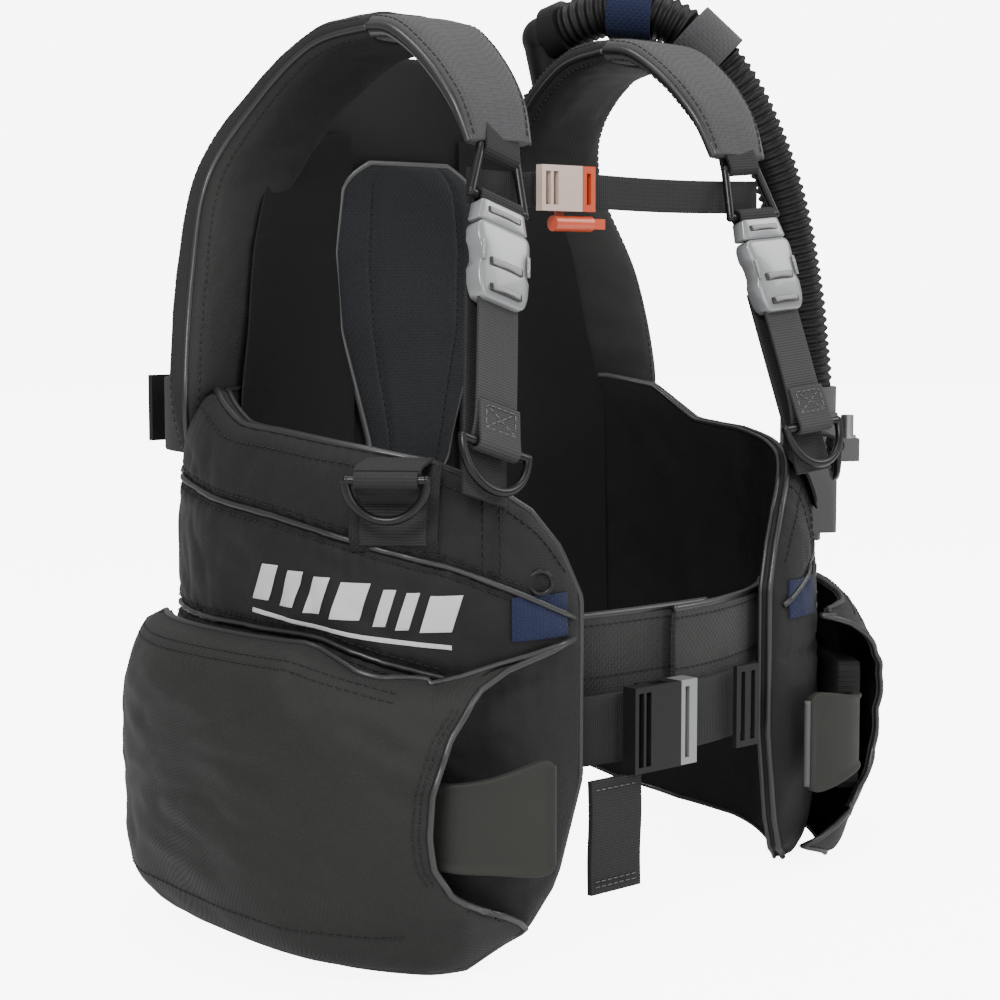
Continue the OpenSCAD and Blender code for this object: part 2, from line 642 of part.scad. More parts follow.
// Fabric loop that holds the hose to the left shoulder cushion
module hose_wrap() color("darkgray") {
    hose_ring(wrap_i, 2.8 + hose_more / 2, 2.2, 32);
    translate([strap_x + 32, hose_path[wrap_i][1] - 16, hose_path[wrap_i][2] - 8])
        cube([max(2, hose_path[wrap_i][0] - hose_r - strap_x - 33), 30, 4]);
}

module at_inflator() translate(hose_end) rotate([0, 0, grip_turn]) children();

collar_h = 18;
grip_w = 34;
grip_d = 32;
grip_h = 82;
button_z = -collar_h - 26;
button_travel = 3;
bleed_r = 9;

module hose_collar() color("darkgray") at_inflator()
    translate([0, 0, -collar_h]) cylinder(r = hose_r + 3, h = collar_h);
module inflator_body() color("gray") at_inflator() difference() {
    translate([0, 0, -collar_h - grip_h]) {
        linear_extrude(grip_h) {
            square([grip_w - 12, grip_d], center = true);
            square([grip_w, grip_d - 12], center = true);
            for (x = [-1, 1], y = [-1, 1])
                translate([x * (grip_w / 2 - 6), y * (grip_d / 2 - 6)]) circle(r = 6, $fn = 32);
        }
        // Boss for the air inlet
        translate([0, -6, grip_h - 34]) cube([grip_w / 2 + 18, 12, 16]);
    }
    // Pocket for the inflate button
    translate([0, -grip_d / 2 + 10, button_z]) rotate([90, 0, 0]) cylinder(r = button_r + run_gap, h = 12);
    // Pocket for the exhaust button
    translate([0, 0, -collar_h - grip_h - 1]) cylinder(r = bleed_r + run_gap, h = 13);
}
module inflate_button() color("black") at_inflator()
    translate([0, -grip_d / 2 + 10 - button_travel - 0.5, button_z]) rotate([90, 0, 0]) cylinder(r = button_r, h = 11);
module deflate_button() color("black") at_inflator()
    translate([0, 0, -collar_h - grip_h - 6]) cylinder(r = bleed_r, h = 13);
module mouthpiece() color("black") at_inflator()
    translate([0, grip_d / 2, -collar_h - grip_h + 22]) rotate([-90, 0, 0]) {
        cylinder(r = 11, h = 12);
        translate([-15, -6, 12]) cube([30, 12, 14]);
    }
module lp_nipple() color("silver") at_inflator()
    translate([grip_w / 2 + 11, 0, -collar_h - 18]) {
        cylinder(r = nipple_r, h = 16);
        cylinder(r = nipple_r + 1.8, h = 2);
    }

// ---- Dump valve on the lower back ----------------------------------------------------------------

dump_th = 46;
dump_z = -0.68 * lobe_depth;
module at_dump() side(false) translate(wrap3(false, dump_th, lobe_t - 6, dump_z))
    rotate([0, 0, facing(false, dump_th)]) rotate([0, 90, 0]) children();
module dump_valve_base() color("black") at_dump() difference() {
    cylinder(r = 24, h = 10);
    translate([0, 0, 6]) cylinder(r = 14, h = 10);
}
module dump_valve_cap() color("black") at_dump() difference() {
    translate([0, 0, 10]) cylinder(r = 22, h = 9);
    translate([0, 0, 9]) cylinder(r = 18, h = 7);
    translate([0, 0, 12]) cylinder(r = 3.2, h = 10);
}
// Pull cord with its knob, which lifts the valve disc
module dump_pull() color("black") at_dump() {
    translate([0, 0, 6.4]) cylinder(r = 12, h = 2);
    translate([0, 0, 7]) cylinder(r = 1.5, h = 18);
    translate([0, 0, 30]) sphere(r = 6.5);
}

backplate();
carry_handle();
back_pad();
back_panel();
wing(true);  // wing_left
wing(false);  // wing_right
lobe(true);  // lobe_left
lobe(false);  // lobe_right
pocket(true);  // pocket_left
pocket(false);  // pocket_right
weight_pouch(true);  // weight_pouch_left
weight_pouch(false);  // weight_pouch_right
pouch_handle(true);  // pouch_handle_left
pouch_handle(false);  // pouch_handle_right
shoulder_pad(true);  // shoulder_pad_left
shoulder_pad(false);  // shoulder_pad_right
strap_ring(true);  // strap_ring_left
strap_ring(false);  // strap_ring_right
buckle_insert(true);  // buckle_insert_left
buckle_insert(false);  // buckle_insert_right
buckle_socket(true);  // buckle_socket_left
buckle_socket(false);  // buckle_socket_right
load_webbing(true);  // load_webbing_left
load_webbing(false);  // load_webbing_right
tail_webbing(true);  // tail_webbing_left
tail_webbing(false);  // tail_webbing_right
chest_dring(true);  // chest_dring_left
chest_dring(false);  // chest_dring_right
pocket_dring(true);  // pocket_dring_left
pocket_dring(false);  // pocket_dring_right
dring_tabs();
sternum_web_left();
sternum_web_right();
sternum_plug();
sternum_socket();
whistle();
cummerbund(true);  // cummerbund_left
cummerbund(false);  // cummerbund_right
belt_left();
belt_right();
waist_socket();
waist_plug();
belt_tail();
tri_glide();
tank_band();
cam_frame();
cam_lever();
hose_elbow();
inflator_hose();
hose_keeper();
hose_wrap();
hose_collar();
inflator_body();
inflate_button();
deflate_button();
mouthpiece();
lp_nipple();
dump_valve_base();
dump_valve_cap();
dump_pull();
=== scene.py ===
# %% [markdown]
# # Jacket-style buoyancy vest
# The CAD frame gives the hard parts and where everything sits. This script dresses it: woven
# cloth panels, webbing, cushions, a corrugated hose, and moulded and metal finishes.
# Lengths in the form functions are millimetres, as in the CAD source; meshes are in metres.

# %% Load the frame
import bisect
import math
import random

import bmesh
import bpy
from mathutils import Matrix, Vector, noise


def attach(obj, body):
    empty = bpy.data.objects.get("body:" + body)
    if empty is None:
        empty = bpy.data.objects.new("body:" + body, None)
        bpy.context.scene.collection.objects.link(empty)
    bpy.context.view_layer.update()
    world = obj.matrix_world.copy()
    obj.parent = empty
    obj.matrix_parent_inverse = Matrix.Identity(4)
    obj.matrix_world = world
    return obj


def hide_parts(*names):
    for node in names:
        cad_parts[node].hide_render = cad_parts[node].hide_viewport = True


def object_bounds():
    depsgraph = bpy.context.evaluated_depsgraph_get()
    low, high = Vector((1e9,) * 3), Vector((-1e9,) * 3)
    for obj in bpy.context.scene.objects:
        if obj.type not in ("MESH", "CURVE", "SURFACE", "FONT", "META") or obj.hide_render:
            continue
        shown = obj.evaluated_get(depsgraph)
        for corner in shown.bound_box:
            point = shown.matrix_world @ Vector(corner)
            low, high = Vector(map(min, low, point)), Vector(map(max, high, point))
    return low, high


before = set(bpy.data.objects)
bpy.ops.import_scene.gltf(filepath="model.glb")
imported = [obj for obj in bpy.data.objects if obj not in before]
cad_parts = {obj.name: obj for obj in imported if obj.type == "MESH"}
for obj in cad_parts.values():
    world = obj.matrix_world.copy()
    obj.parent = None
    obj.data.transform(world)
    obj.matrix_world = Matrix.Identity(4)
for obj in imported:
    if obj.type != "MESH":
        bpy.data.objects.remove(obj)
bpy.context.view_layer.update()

random.seed(7)

# %% [markdown]
# ## Camera
# One camera looks at the wearer's right front quarter from a little above the middle. It could
# be framed by its sensor shift, but a plain aim at one target is easier to turn later, so the
# direction comes from an azimuth and an elevation round that target.

# %% Camera
target = Vector((0, -0.212, -0.048))
azimuth, elevation, distance = math.radians(-42), math.radians(5.5), 1.4
camera_data = bpy.data.cameras.new("camera")
camera_data.lens = 78.75
camera = bpy.data.objects.new("camera", camera_data)
bpy.context.scene.collection.objects.link(camera)
camera.location = target + distance * Vector((
    math.sin(azimuth) * math.cos(elevation),
    -math.cos(azimuth) * math.cos(elevation),
    math.sin(elevation)))
camera.rotation_euler = (target - camera.location).to_track_quat("-Z", "Y").to_euler()
bpy.context.scene.camera = camera
print("camera", [round(c, 3) for c in camera.location])

# %% [markdown]
# ## The body form
# Every cloth panel lies on one rounded form, the same one the CAD uses. A shrinkwrap onto the
# CAD mesh could place the cloth too, but it would copy the facets, so the form is worked out
# again from its sizes and flat patterns are laid on it.

# %% Sizes of the form and its maps
CHEST_W, CHEST_D, BACK_Y, SHOULDER_Z, LOBE_DEPTH, STRAP_X = 404, 258, 118, 238, 284, 100
LEFT_SLACK, LEFT_DROP, LOBE_T, POCKET_T, EDGE_T = 17, 14, 30, 42, 6
FORM_N, LEFT_FRONT_N = 2.6, 1.8
MM = 0.001
BODY_Y = -(BACK_Y + CHEST_D / 2)
TAG = {True: "left", False: "right"}


def table(x, rows):
    """Straight-line look-up in rows of (x, value)."""
    if x <= rows[0][0]:
        return rows[0][1]
    for (a, b), (c, d) in zip(rows, rows[1:]):
        if x <= c:
            return b + (d - b) * (x - a) / (c - a)
    return rows[-1][1]


def mix(a, b, k):
    return a + (b - a) * k


def crown(k):
    """1 across the middle of 0 to 1, falling to 0 at both ends."""
    return math.sqrt(max(0.0, 1 - abs(2 * k - 1) ** 4))


def ease(x, a, b):
    """Smooth step from 0 at a to 1 at b."""
    k = min(1.0, max(0.0, (x - a) / (b - a)))
    return k * k * (3 - 2 * k)


def wrap(left, th, t):
    """Plan position on the body form: angle from the back, distance outwards."""
    n = LEFT_FRONT_N if left and th > 90 else FORM_N
    s, c = math.sin(math.radians(th)), math.cos(math.radians(th))
    half = CHEST_W / 2 - (LEFT_SLACK if left else 0)
    return (math.copysign(half + t, s) * abs(s) ** (2 / n),
            BODY_Y + math.copysign(CHEST_D / 2 + t, c) * abs(c) ** (2 / n))


def at(left, th, t, z):
    """The same point on either half, in metres."""
    x, y = wrap(left, th, t)
    return Vector((x if left else -x, y, z)) * MM


def sideways(left, th):
    """Direction along the form as the angle grows."""
    d = at(left, th + 0.5, 10, 0) - at(left, th - 0.5, 10, 0)
    return d.normalized()


FRONT_TH = 161
LOBE_END = {True: 150, False: FRONT_TH}
# Rows of (angle from the middle of the back, height) and (angle, share of the lobe's depth)
TOP_EDGE = [(30, 26), (70, 26), (84, 10), (114, 0), (130, -7), (143, -20), (151, -35), (157, -57),
            (161, -85)]
LOW_EDGE = [(30, 0.82), (60, 0.92), (80, 0.955), (116, 0.985), (138, 1), (150, 0.95), (156, 0.86),
            (161, 0.66)]


def lobe_start(left):
    half = CHEST_W / 2 - (LEFT_SLACK if left else 0)
    return math.degrees(math.asin((128 / half) ** (FORM_N / 2)))


def lobe_top(left, th):
    drop = LEFT_DROP * min(1, max(0, (th - 50) / 30)) if left else 0
    return table(th * FRONT_TH / LOBE_END[left], TOP_EDGE) - drop


def lobe_low(left, th):
    return -LOBE_DEPTH * table(th * FRONT_TH / LOBE_END[left], LOW_EDGE)


def smooth_curve(points, steps):
    """Catmull-Rom points through a list of vectors or tuples."""
    p = [Vector(q) for q in points]
    out = []
    for i in range(len(p) - 1):
        a, b, c, d = p[max(i - 1, 0)], p[i], p[i + 1], p[min(i + 2, len(p) - 1)]
        for j in range(steps):
            k = j / steps
            out.append(0.5 * (2 * b + (c - a) * k + (2 * a - 5 * b + 4 * c - d) * k ** 2
                              + (3 * b - a - 3 * c + d) * k ** 3))
    return out + [p[-1]]


class Line:
    """A polyline that gives the point at a fraction of its length."""

    def __init__(self, points):
        self.points = [Vector(q) for q in points]
        self.reach = [0.0]
        for a, b in zip(self.points, self.points[1:]):
            self.reach.append(self.reach[-1] + (b - a).length)
        self.length = self.reach[-1]

    def at(self, k):
        want = min(1.0, max(0.0, k)) * self.length
        i = min(max(1, bisect.bisect_left(self.reach, want)), len(self.points) - 1)
        step = max(self.reach[i] - self.reach[i - 1], 1e-9)
        return self.points[i - 1].lerp(self.points[i], (want - self.reach[i - 1]) / step)


print("lobe starts at", round(lobe_start(True), 1), round(lobe_start(False), 1), "degrees")

# %% [markdown]
# ## Shader groups
# The weave, the webbing ribs and the grain could each be painted images, but the vest has no
# images, and node groups keep their scale in real threads. Each group takes a coordinate in
# metres and gives a height for bumps and a factor for shade.

# %% Shader groups
def new_group(name, inputs, outputs):
    group = bpy.data.node_groups.new(name, "ShaderNodeTree")
    for label, kind, value in inputs:
        socket = group.interface.new_socket(label, in_out="INPUT", socket_type=kind)
        if value is not None:
            socket.default_value = value
    for label in outputs:
        group.interface.new_socket(label, in_out="OUTPUT", socket_type="NodeSocketFloat")
    return group, group.nodes.new("NodeGroupInput"), group.nodes.new("NodeGroupOutput")


def maths(tree, operation, a, b=None):
    node = tree.nodes.new("ShaderNodeMath")
    node.operation = operation
    for socket, value in zip(node.inputs, (a, b)):
        if value is None:
            continue
        if isinstance(value, (int, float)):
            socket.default_value = value
        else:
            tree.links.new(value, socket)
    return node.outputs[0]


def noise_value(tree, vector, scale, detail=3.0):
    node = tree.nodes.new("ShaderNodeTexNoise")
    node.inputs["Scale"].default_value = scale
    node.inputs["Detail"].default_value = detail
    tree.links.new(vector, node.inputs["Vector"])
    return node.outputs[0]


# Plain weave: over-and-under threads, with uneven yarn
weave, gin, gout = new_group("weave", [("Vector", "NodeSocketVector", None),
                                       ("Threads", "NodeSocketFloat", 900.0)], ["Height", "Shade"])
split = weave.nodes.new("ShaderNodeSeparateXYZ")
weave.links.new(gin.outputs["Vector"], split.inputs[0])
wx = maths(weave, "MULTIPLY", split.outputs[0], gin.outputs["Threads"])
wy = maths(weave, "MULTIPLY", split.outputs[1], gin.outputs["Threads"])
cell = maths(weave, "ADD", maths(weave, "FLOOR", wx), maths(weave, "FLOOR", wy))
parity = maths(weave, "ABSOLUTE", maths(weave, "MODULO", cell, 2.0))
over = maths(weave, "ABSOLUTE", maths(weave, "SINE", maths(weave, "MULTIPLY", wx, math.pi)))
under = maths(weave, "ABSOLUTE", maths(weave, "SINE", maths(weave, "MULTIPLY", wy, math.pi)))
thread = maths(weave, "ADD", maths(weave, "MULTIPLY", over, parity),
               maths(weave, "MULTIPLY", under, maths(weave, "SUBTRACT", 1.0, parity)))
uneven = noise_value(weave, gin.outputs["Vector"], 260.0, 2.0)
weave.links.new(thread, gout.inputs["Height"])
weave.links.new(maths(weave, "ADD", maths(weave, "MULTIPLY", thread, 0.55),
                      maths(weave, "MULTIPLY", uneven, 0.55)), gout.inputs["Shade"])

# Webbing: ribs across the strap, with two raised tracks along it
ribs, gin, gout = new_group("ribs", [("Vector", "NodeSocketVector", None),
                                     ("Ribs", "NodeSocketFloat", 620.0)], ["Height", "Shade"])
split = ribs.nodes.new("ShaderNodeSeparateXYZ")
ribs.links.new(gin.outputs["Vector"], split.inputs[0])
rx = maths(ribs, "MULTIPLY", split.outputs[0], gin.outputs["Ribs"])
ry = maths(ribs, "MULTIPLY", split.outputs[1], gin.outputs["Ribs"])
cross = maths(ribs, "ABSOLUTE", maths(ribs, "SINE", maths(ribs, "MULTIPLY", rx, math.pi)))
fine = maths(ribs, "ABSOLUTE", maths(ribs, "SINE", maths(ribs, "MULTIPLY", ry, 2.2)))
height = maths(ribs, "ADD", maths(ribs, "MULTIPLY", cross, 0.75), maths(ribs, "MULTIPLY", fine, 0.25))
ribs.links.new(height, gout.inputs["Height"])
ribs.links.new(height, gout.inputs["Shade"])

# Grain: cloudy wear at hand size and fine speckle
grain, gin, gout = new_group("grain", [("Vector", "NodeSocketVector", None),
                                       ("Cloud", "NodeSocketFloat", 22.0),
                                       ("Speckle", "NodeSocketFloat", 900.0)], ["Cloud", "Speckle"])
cloud_node = grain.nodes.new("ShaderNodeTexNoise")
cloud_node.inputs["Detail"].default_value = 5.0
speckle_node = grain.nodes.new("ShaderNodeTexNoise")
speckle_node.inputs["Detail"].default_value = 2.0
for node, label in ((cloud_node, "Cloud"), (speckle_node, "Speckle")):
    grain.links.new(gin.outputs["Vector"], node.inputs["Vector"])
    grain.links.new(gin.outputs[label], node.inputs["Scale"])
    grain.links.new(node.outputs[0], gout.inputs[label])

# Dust: settles where a surface faces up
dust, gin, gout = new_group("dust", [("Vector", "NodeSocketVector", None),
                                     ("Amount", "NodeSocketFloat", 0.2)], ["Dust"])
geometry = dust.nodes.new("ShaderNodeNewGeometry")
split = dust.nodes.new("ShaderNodeSeparateXYZ")
dust.links.new(geometry.outputs["Normal"], split.inputs[0])
upward = maths(dust, "MAXIMUM", split.outputs[2], 0.0)
patchy = noise_value(dust, gin.outputs["Vector"], 70.0, 4.0)
dust.links.new(maths(dust, "MULTIPLY", maths(dust, "MULTIPLY", upward, patchy), gin.outputs["Amount"]),
               gout.inputs["Dust"])
print("shader groups", [g.name for g in bpy.data.node_groups])

# %% [markdown]
# ## Finishes
# One material per kind of cloth, webbing, plastic and metal. Each mixes its colour between a
# dark and a light version by grain, pattern and dust, so no surface is one flat tone.

# %% Finishes
def material(name, base, rough, pattern=None, count=900.0, depth=0.0, contrast=0.25, cloud=0.25,
             dusty=0.15, metallic=0.0, coat=0.0, sheen=0.0, speckle=900.0, speck=0.1, bump=0.0):
    made = bpy.data.materials.new(name)
    made.use_nodes = True
    tree = made.node_tree
    shader = next(n for n in tree.nodes if n.type == "BSDF_PRINCIPLED")
    coords = tree.nodes.new("ShaderNodeTexCoord")
    g = tree.nodes.new("ShaderNodeGroup")
    g.node_tree = grain
    g.inputs["Speckle"].default_value = speckle
    tree.links.new(coords.outputs["Object"], g.inputs["Vector"])
    d = tree.nodes.new("ShaderNodeGroup")
    d.node_tree = dust
    d.inputs["Amount"].default_value = dusty
    tree.links.new(coords.outputs["Object"], d.inputs["Vector"])
    fac = maths(tree, "ADD", maths(tree, "MULTIPLY", g.outputs["Cloud"], cloud),
                maths(tree, "MULTIPLY", g.outputs["Speckle"], speck))
    height = maths(tree, "MULTIPLY", g.outputs["Speckle"], bump)
    if pattern is not None:
        p = tree.nodes.new("ShaderNodeGroup")
        p.node_tree = pattern
        p.inputs[1].default_value = count
        tree.links.new(coords.outputs["UV"], p.inputs["Vector"])
        fac = maths(tree, "ADD", fac, maths(tree, "MULTIPLY", p.outputs["Shade"], contrast))
        height = maths(tree, "ADD", height, maths(tree, "MULTIPLY", p.outputs["Height"], depth))
    fac = maths(tree, "ADD", fac, d.outputs["Dust"])
    ramp = tree.nodes.new("ShaderNodeMix")
    ramp.data_type = "RGBA"
    ramp.inputs["A"].default_value = [c * 0.62 for c in base] + [1]
    ramp.inputs["B"].default_value = [min(1.0, c * 1.7 + 0.004) for c in base] + [1]
    tree.links.new(fac, ramp.inputs["Factor"])
    tree.links.new(ramp.outputs["Result"], shader.inputs["Base Color"])
    rough_now = maths(tree, "ADD", maths(tree, "MULTIPLY", g.outputs["Cloud"], 0.16), rough - 0.08)
    tree.links.new(rough_now, shader.inputs["Roughness"])
    shader.inputs["Metallic"].default_value = metallic
    shader.inputs["Coat Weight"].default_value = coat
    shader.inputs["Sheen Weight"].default_value = sheen * 0.3
    shader.inputs["Specular IOR Level"].default_value = 0.5 if coat or metallic else 0.22
    shader.inputs["Sheen Roughness"].default_value = 0.4
    if depth or bump:
        node = tree.nodes.new("ShaderNodeBump")
        node.inputs["Strength"].default_value = 0.6
        node.inputs["Distance"].default_value = 0.0006
        tree.links.new(height, node.inputs["Height"])
        tree.links.new(node.outputs["Normal"], shader.inputs["Normal"])
    return made


FINISHES = {
    "black_nylon": (((.0065, .0065, .0068), .62, weave, 900, .35, .16, .35, .2), dict(sheen=.12)),
    "bladder_nylon": (((.0125, .0125, .0120), .6, weave, 900, .35, .16, .4, .2), dict(sheen=.1)),
    "pocket_nylon": (((.0125, .0125, .0118), .62, weave, 900, .4, .16, .4, .2), dict(sheen=.12)),
    # The inside cloth is darker than the outer nylon: painted shade for the hollow of the vest
    "shade_lining": (((.0035, .0035, .0035), .7, weave, 900, .3, .3, .3, .05), dict()),
    "back_cushion": (((.0130, .0140, .0165), .85, weave, 500, .8, .3, .35, .12), dict(sheen=.25)),
    "pouch_fabric": (((.008, .008, .008), .7, weave, 600, .7, .3, .3, .1), dict()),
    "strap_fabric": (
        ((.040, .040, .0415), .9, weave, 420, .8, .3, .3, .1),
        dict(sheen=.3, speckle=1500, speck=.5)),
    "cummerbund_fabric": (
        ((.020, .020, .0195), .95, weave, 500, .8, .3, .4, .1),
        dict(sheen=.4, speckle=1200, speck=.4)),
    "webbing": (((.012, .012, .0123), .7, ribs, 620, 1.0, .5, .25, .15), dict(sheen=.1)),
    "light_webbing": (((.026, .026, .0265), .7, ribs, 620, 1.0, .5, .25, .15), dict(sheen=.1)),
    "piping": (((.012, .012, .0122), .45, None), dict(dusty=.1, coat=.15, bump=.1)),
    # Light trim for piping and thread; on the cushion's edge and the ring tabs' top fold the light
    # colour is a painted highlight
    "light_trim_and_highlight": (((.085, .085, .085), .4, None), dict(dusty=.1, coat=.2)),
    "thread": (((.018, .018, .018), .6, None), dict(dusty=.1)),
    "blue_band": (((.007, .011, .036), .8, weave, 500, .8, .3, .3, .1), dict(sheen=.2)),
    "mark_print": (((.62, .62, .62), .55, weave, 900, .2, .1, .15, .0), dict()),
    "hose_rubber": (((.006, .006, .006), .5, None), dict(dusty=.2, bump=.2)),
    "handle_rubber": (((.024, .024, .021), .65, None), dict(dusty=.15, bump=.4)),
    "plate_plastic": (((.009, .009, .0093), .45, None), dict(dusty=.15, bump=.25)),
    "silver_plastic": (
        ((.27, .275, .28), .32, None),
        dict(cloud=.2, dusty=.08, metallic=.35, coat=.3, bump=.05)),
    "cream_plastic": (((.62, .47, .40), .4, None), dict(cloud=.2, dusty=.05, coat=.2, bump=.05)),
    "red_plastic": (((.60, .075, .025), .35, None), dict(cloud=.2, dusty=.05, coat=.3)),
    # Grey plastic for the hose parts, also used as a painted highlight on the pouch handles' edge
    "grey_plastic": (((.10, .10, .10), .45, None), dict(cloud=.2, dusty=.1, bump=.1)),
    # Black plastic for the buttons, also used as painted shade in the buckles' slots
    "button_plastic": (((.012, .012, .012), .25, None), dict(dusty=.05, coat=.4)),
    "dark_metal": (((.02, .02, .0205), .32, None), dict(dusty=.08, metallic=.7, bump=.06)),
    "nipple_steel": (((.6, .6, .6), .18, None), dict(cloud=.15, dusty=.02, metallic=1.0)),
}
LOOK = {name: material(name, *given, **named) for name, (given, named) in FINISHES.items()}
print(len(LOOK), "finishes")

# %% [markdown]
# ## Making tools
# A panel could be drawn vertex by vertex, but a flat grid that is extruded, wrapped onto the
# form and given rounded rims is how the cloth itself is cut and sewn. Round pieces are a grid
# closed on itself, and piping and thread are swept along lines.

# %% Tools for panels, round forms, straps, cords and stitches
def keep(name, bm, look, body, smooth=True):
    """Turns a bmesh into a finished piece that rides on a body."""
    bmesh.ops.recalc_face_normals(bm, faces=bm.faces[:])
    mesh = bpy.data.meshes.new(name)
    bm.to_mesh(mesh)
    bm.free()
    for polygon in mesh.polygons:
        polygon.use_smooth = smooth
    piece = bpy.data.objects.new(name, mesh)
    bpy.context.scene.collection.objects.link(piece)
    mesh.materials.append(LOOK[look])
    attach(piece, body)
    return piece


def flat_grid(nu, nv, flat):
    """A unit grid whose UV map is in metres of flat cloth."""
    bm = bmesh.new()
    bmesh.ops.create_grid(bm, x_segments=nu, y_segments=nv, size=0.5)
    layer = bm.loops.layers.uv.new("UVMap")
    for face in bm.faces:
        for loop in face.loops:
            loop[layer].uv = ((loop.vert.co.x + 0.5) * flat[0], (loop.vert.co.y + 0.5) * flat[1])
    return bm


def panel(name, nu, nv, outer, inner, flat, look, body="vest", rim=0.0):
    """A closed panel between two surfaces of u and v."""
    bm = flat_grid(nu, nv, flat)
    grown = bmesh.ops.extrude_face_region(bm, geom=bm.faces[:], use_keep_orig=True)
    front = {g for g in grown["geom"] if isinstance(g, bmesh.types.BMVert)}
    for v in bm.verts:
        u, w = v.co.x + 0.5, v.co.y + 0.5
        v.co = outer(u, w) if v in front else inner(u, w)
    bmesh.ops.recalc_face_normals(bm, faces=bm.faces[:])
    if rim:
        edges = [e for e in bm.edges if len(e.link_faces) == 2 and e.calc_face_angle(0) > 0.8]
        bmesh.ops.bevel(bm, geom=edges, offset=rim, offset_type="OFFSET", segments=2, profile=0.5,
                        affect="EDGES", material=-1, clamp_overlap=True)
    return keep(name, bm, look, body)


def round_form(name, nu, nv, surface, flat, look, body="vest"):
    """A closed round piece: surface(u, a) with a once round, and capped ends."""
    bm = flat_grid(nu, nv, flat)
    for v in bm.verts:
        v.co = surface(v.co.x + 0.5, 2 * math.pi * (v.co.y + 0.5))
    bmesh.ops.remove_doubles(bm, verts=bm.verts[:], dist=1e-6)
    bmesh.ops.holes_fill(bm, edges=[e for e in bm.edges if e.is_boundary], sides=0)
    return keep(name, bm, look, body)


def ribbon(name, path, wide, thick, look="webbing", body="vest", slot="webbing", steps=40, across=6,
           sag=None, rim=0.0004):
    """A strap of webbing along a path; wide is its half-width vector, or a function of k."""
    get = wide if callable(wide) else (lambda k: wide)
    line = Line(path)

    def place(u, v, out):
        p = line.at(u)
        d = (line.at(u + 0.01) - line.at(u - 0.01)).normalized()
        w = get(u)
        n = w.cross(d).normalized()
        return p + w * (2 * v - 1) + n * out + (sag(u, v) if sag else Vector((0, 0, 0)))
    flat = (line.length, 2 * get(0).length)
    return panel(name, steps, across, lambda u, v: place(u, v, thick / 2),
                 lambda u, v: place(u, v, -thick / 2), flat, look, body, rim)


def swept(name, lines, radius, look, body="vest", sides=2):
    """Piping, cord or thread swept along one or more lines of points."""
    data = bpy.data.curves.new(name, "CURVE")
    data.dimensions = "3D"
    data.bevel_depth = radius
    data.bevel_resolution = sides
    data.use_fill_caps = True
    for line in lines:
        spline = data.splines.new("POLY")
        spline.points.add(len(line) - 1)
        for point, co in zip(spline.points, line):
            point.co = (*co, 1)
    temp = bpy.data.objects.new(name + "_line", data)
    mesh = bpy.data.meshes.new_from_object(temp)
    bpy.data.objects.remove(temp)
    bpy.data.curves.remove(data)
    bm = bmesh.new()
    bm.from_mesh(mesh)
    bpy.data.meshes.remove(mesh)
    bmesh.ops.remove_doubles(bm, verts=bm.verts[:], dist=1e-7)
    return keep(name, bm, look, body)


def stitches(name, lines, look="thread", body="vest", on=0.0032, gap=0.0016, radius=0.00042):
    """Rows of stitches: short dashes of thread along lines of points."""
    dashes = []
    for points in lines:
        line = Line(points)
        for i in range(max(1, int(line.length / (on + gap)))):
            k = i * (on + gap) / line.length
            dashes.append([line.at(k), line.at(k + on / line.length)])
    return swept(name, dashes, radius, look, body, 0)


print("tools ready")

# %% [markdown]
# ## Hose
# A corrugated hose leaves the elbow on the left shoulder and hangs to the inflator. A curve with
# a bevel would be a plain pipe, so the pipe is a closed grid whose radius swells at each ring.

# %% Hose
HOSE = Line(smooth_curve([Vector(p) * MM for p in (
    (104, -166, 262), (108, -181, 267), (114, -196, 270), (122, -210, 270), (131, -223, 266),
    (141, -235, 258), (151, -246, 246), (162, -255, 231), (173, -262, 212), (183, -267, 191),
    (193, -270, 169), (202, -272, 146), (210, -273, 122), (217, -273, 97), (223, -273, 72),
    (228, -272, 48), (231, -272, 32), (232, -272, 20))], 4))
HOSE_LEN = HOSE.length
RINGS = 62


def hose_surface(u, a):
    p = HOSE.at(u)
    d = (HOSE.at(u + 0.008) - HOSE.at(u - 0.008)).normalized()
    x = (Vector((1, 0, 0)) - d * d.x).normalized()
    y = d.cross(x)
    plain = min(1, min(u, 1 - u) / 0.02)
    swell = 0.0145 + 0.0011 * plain * math.cos(2 * math.pi * RINGS * u) + 0.0002
    return p + (x * math.cos(a) + y * math.sin(a)) * swell


hose = round_form("hose", RINGS * 8, 32, hose_surface, (HOSE_LEN, 0.097), "hose_rubber")
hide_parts("inflator_hose")
tuple(HOSE.points[0])
[tuple(p) for p in HOSE.points]
print("hose", round(HOSE_LEN, 4), "m long")

# %% [markdown]
# ## Lobes
# Each side lobe is the main air cell: two layers of coated nylon welded at the rim, with sewn
# seams across it. Inflating a cloth would round it too evenly for an empty vest, so the flat
# pattern is laid on the form with creases and puckers worked in along the real seams.

# %% Lobes
SEAM_1 = [(20, 6), (60, -20), (82, -30), (111, -46), (136, -63), (148, -78), (161, -98)]
SEAM_2 = [(20, -96), (62, -99), (107, -101), (132, -121), (140, -127)]
GUSSET_TH = 143


def seam_z(left, th, rows):
    k = LOBE_END[left] / FRONT_TH
    return table(th / k, rows) - (LEFT_DROP * ease(th, 50, 80) if left else 0)


def pucker(left, th, z, line_z, reach=11.0):
    """Small gathers beside a line of sewing, and the groove of the line itself."""
    d = z - line_z
    s = th * 3.4
    waves = math.sin(s * 0.55 + 3 * noise.noise(Vector((s * 0.05, z * 0.02, 3.0))))
    return waves * 0.55 * math.exp(-abs(d) / reach) - 3.4 * math.exp(-(d / 5.0) ** 2)


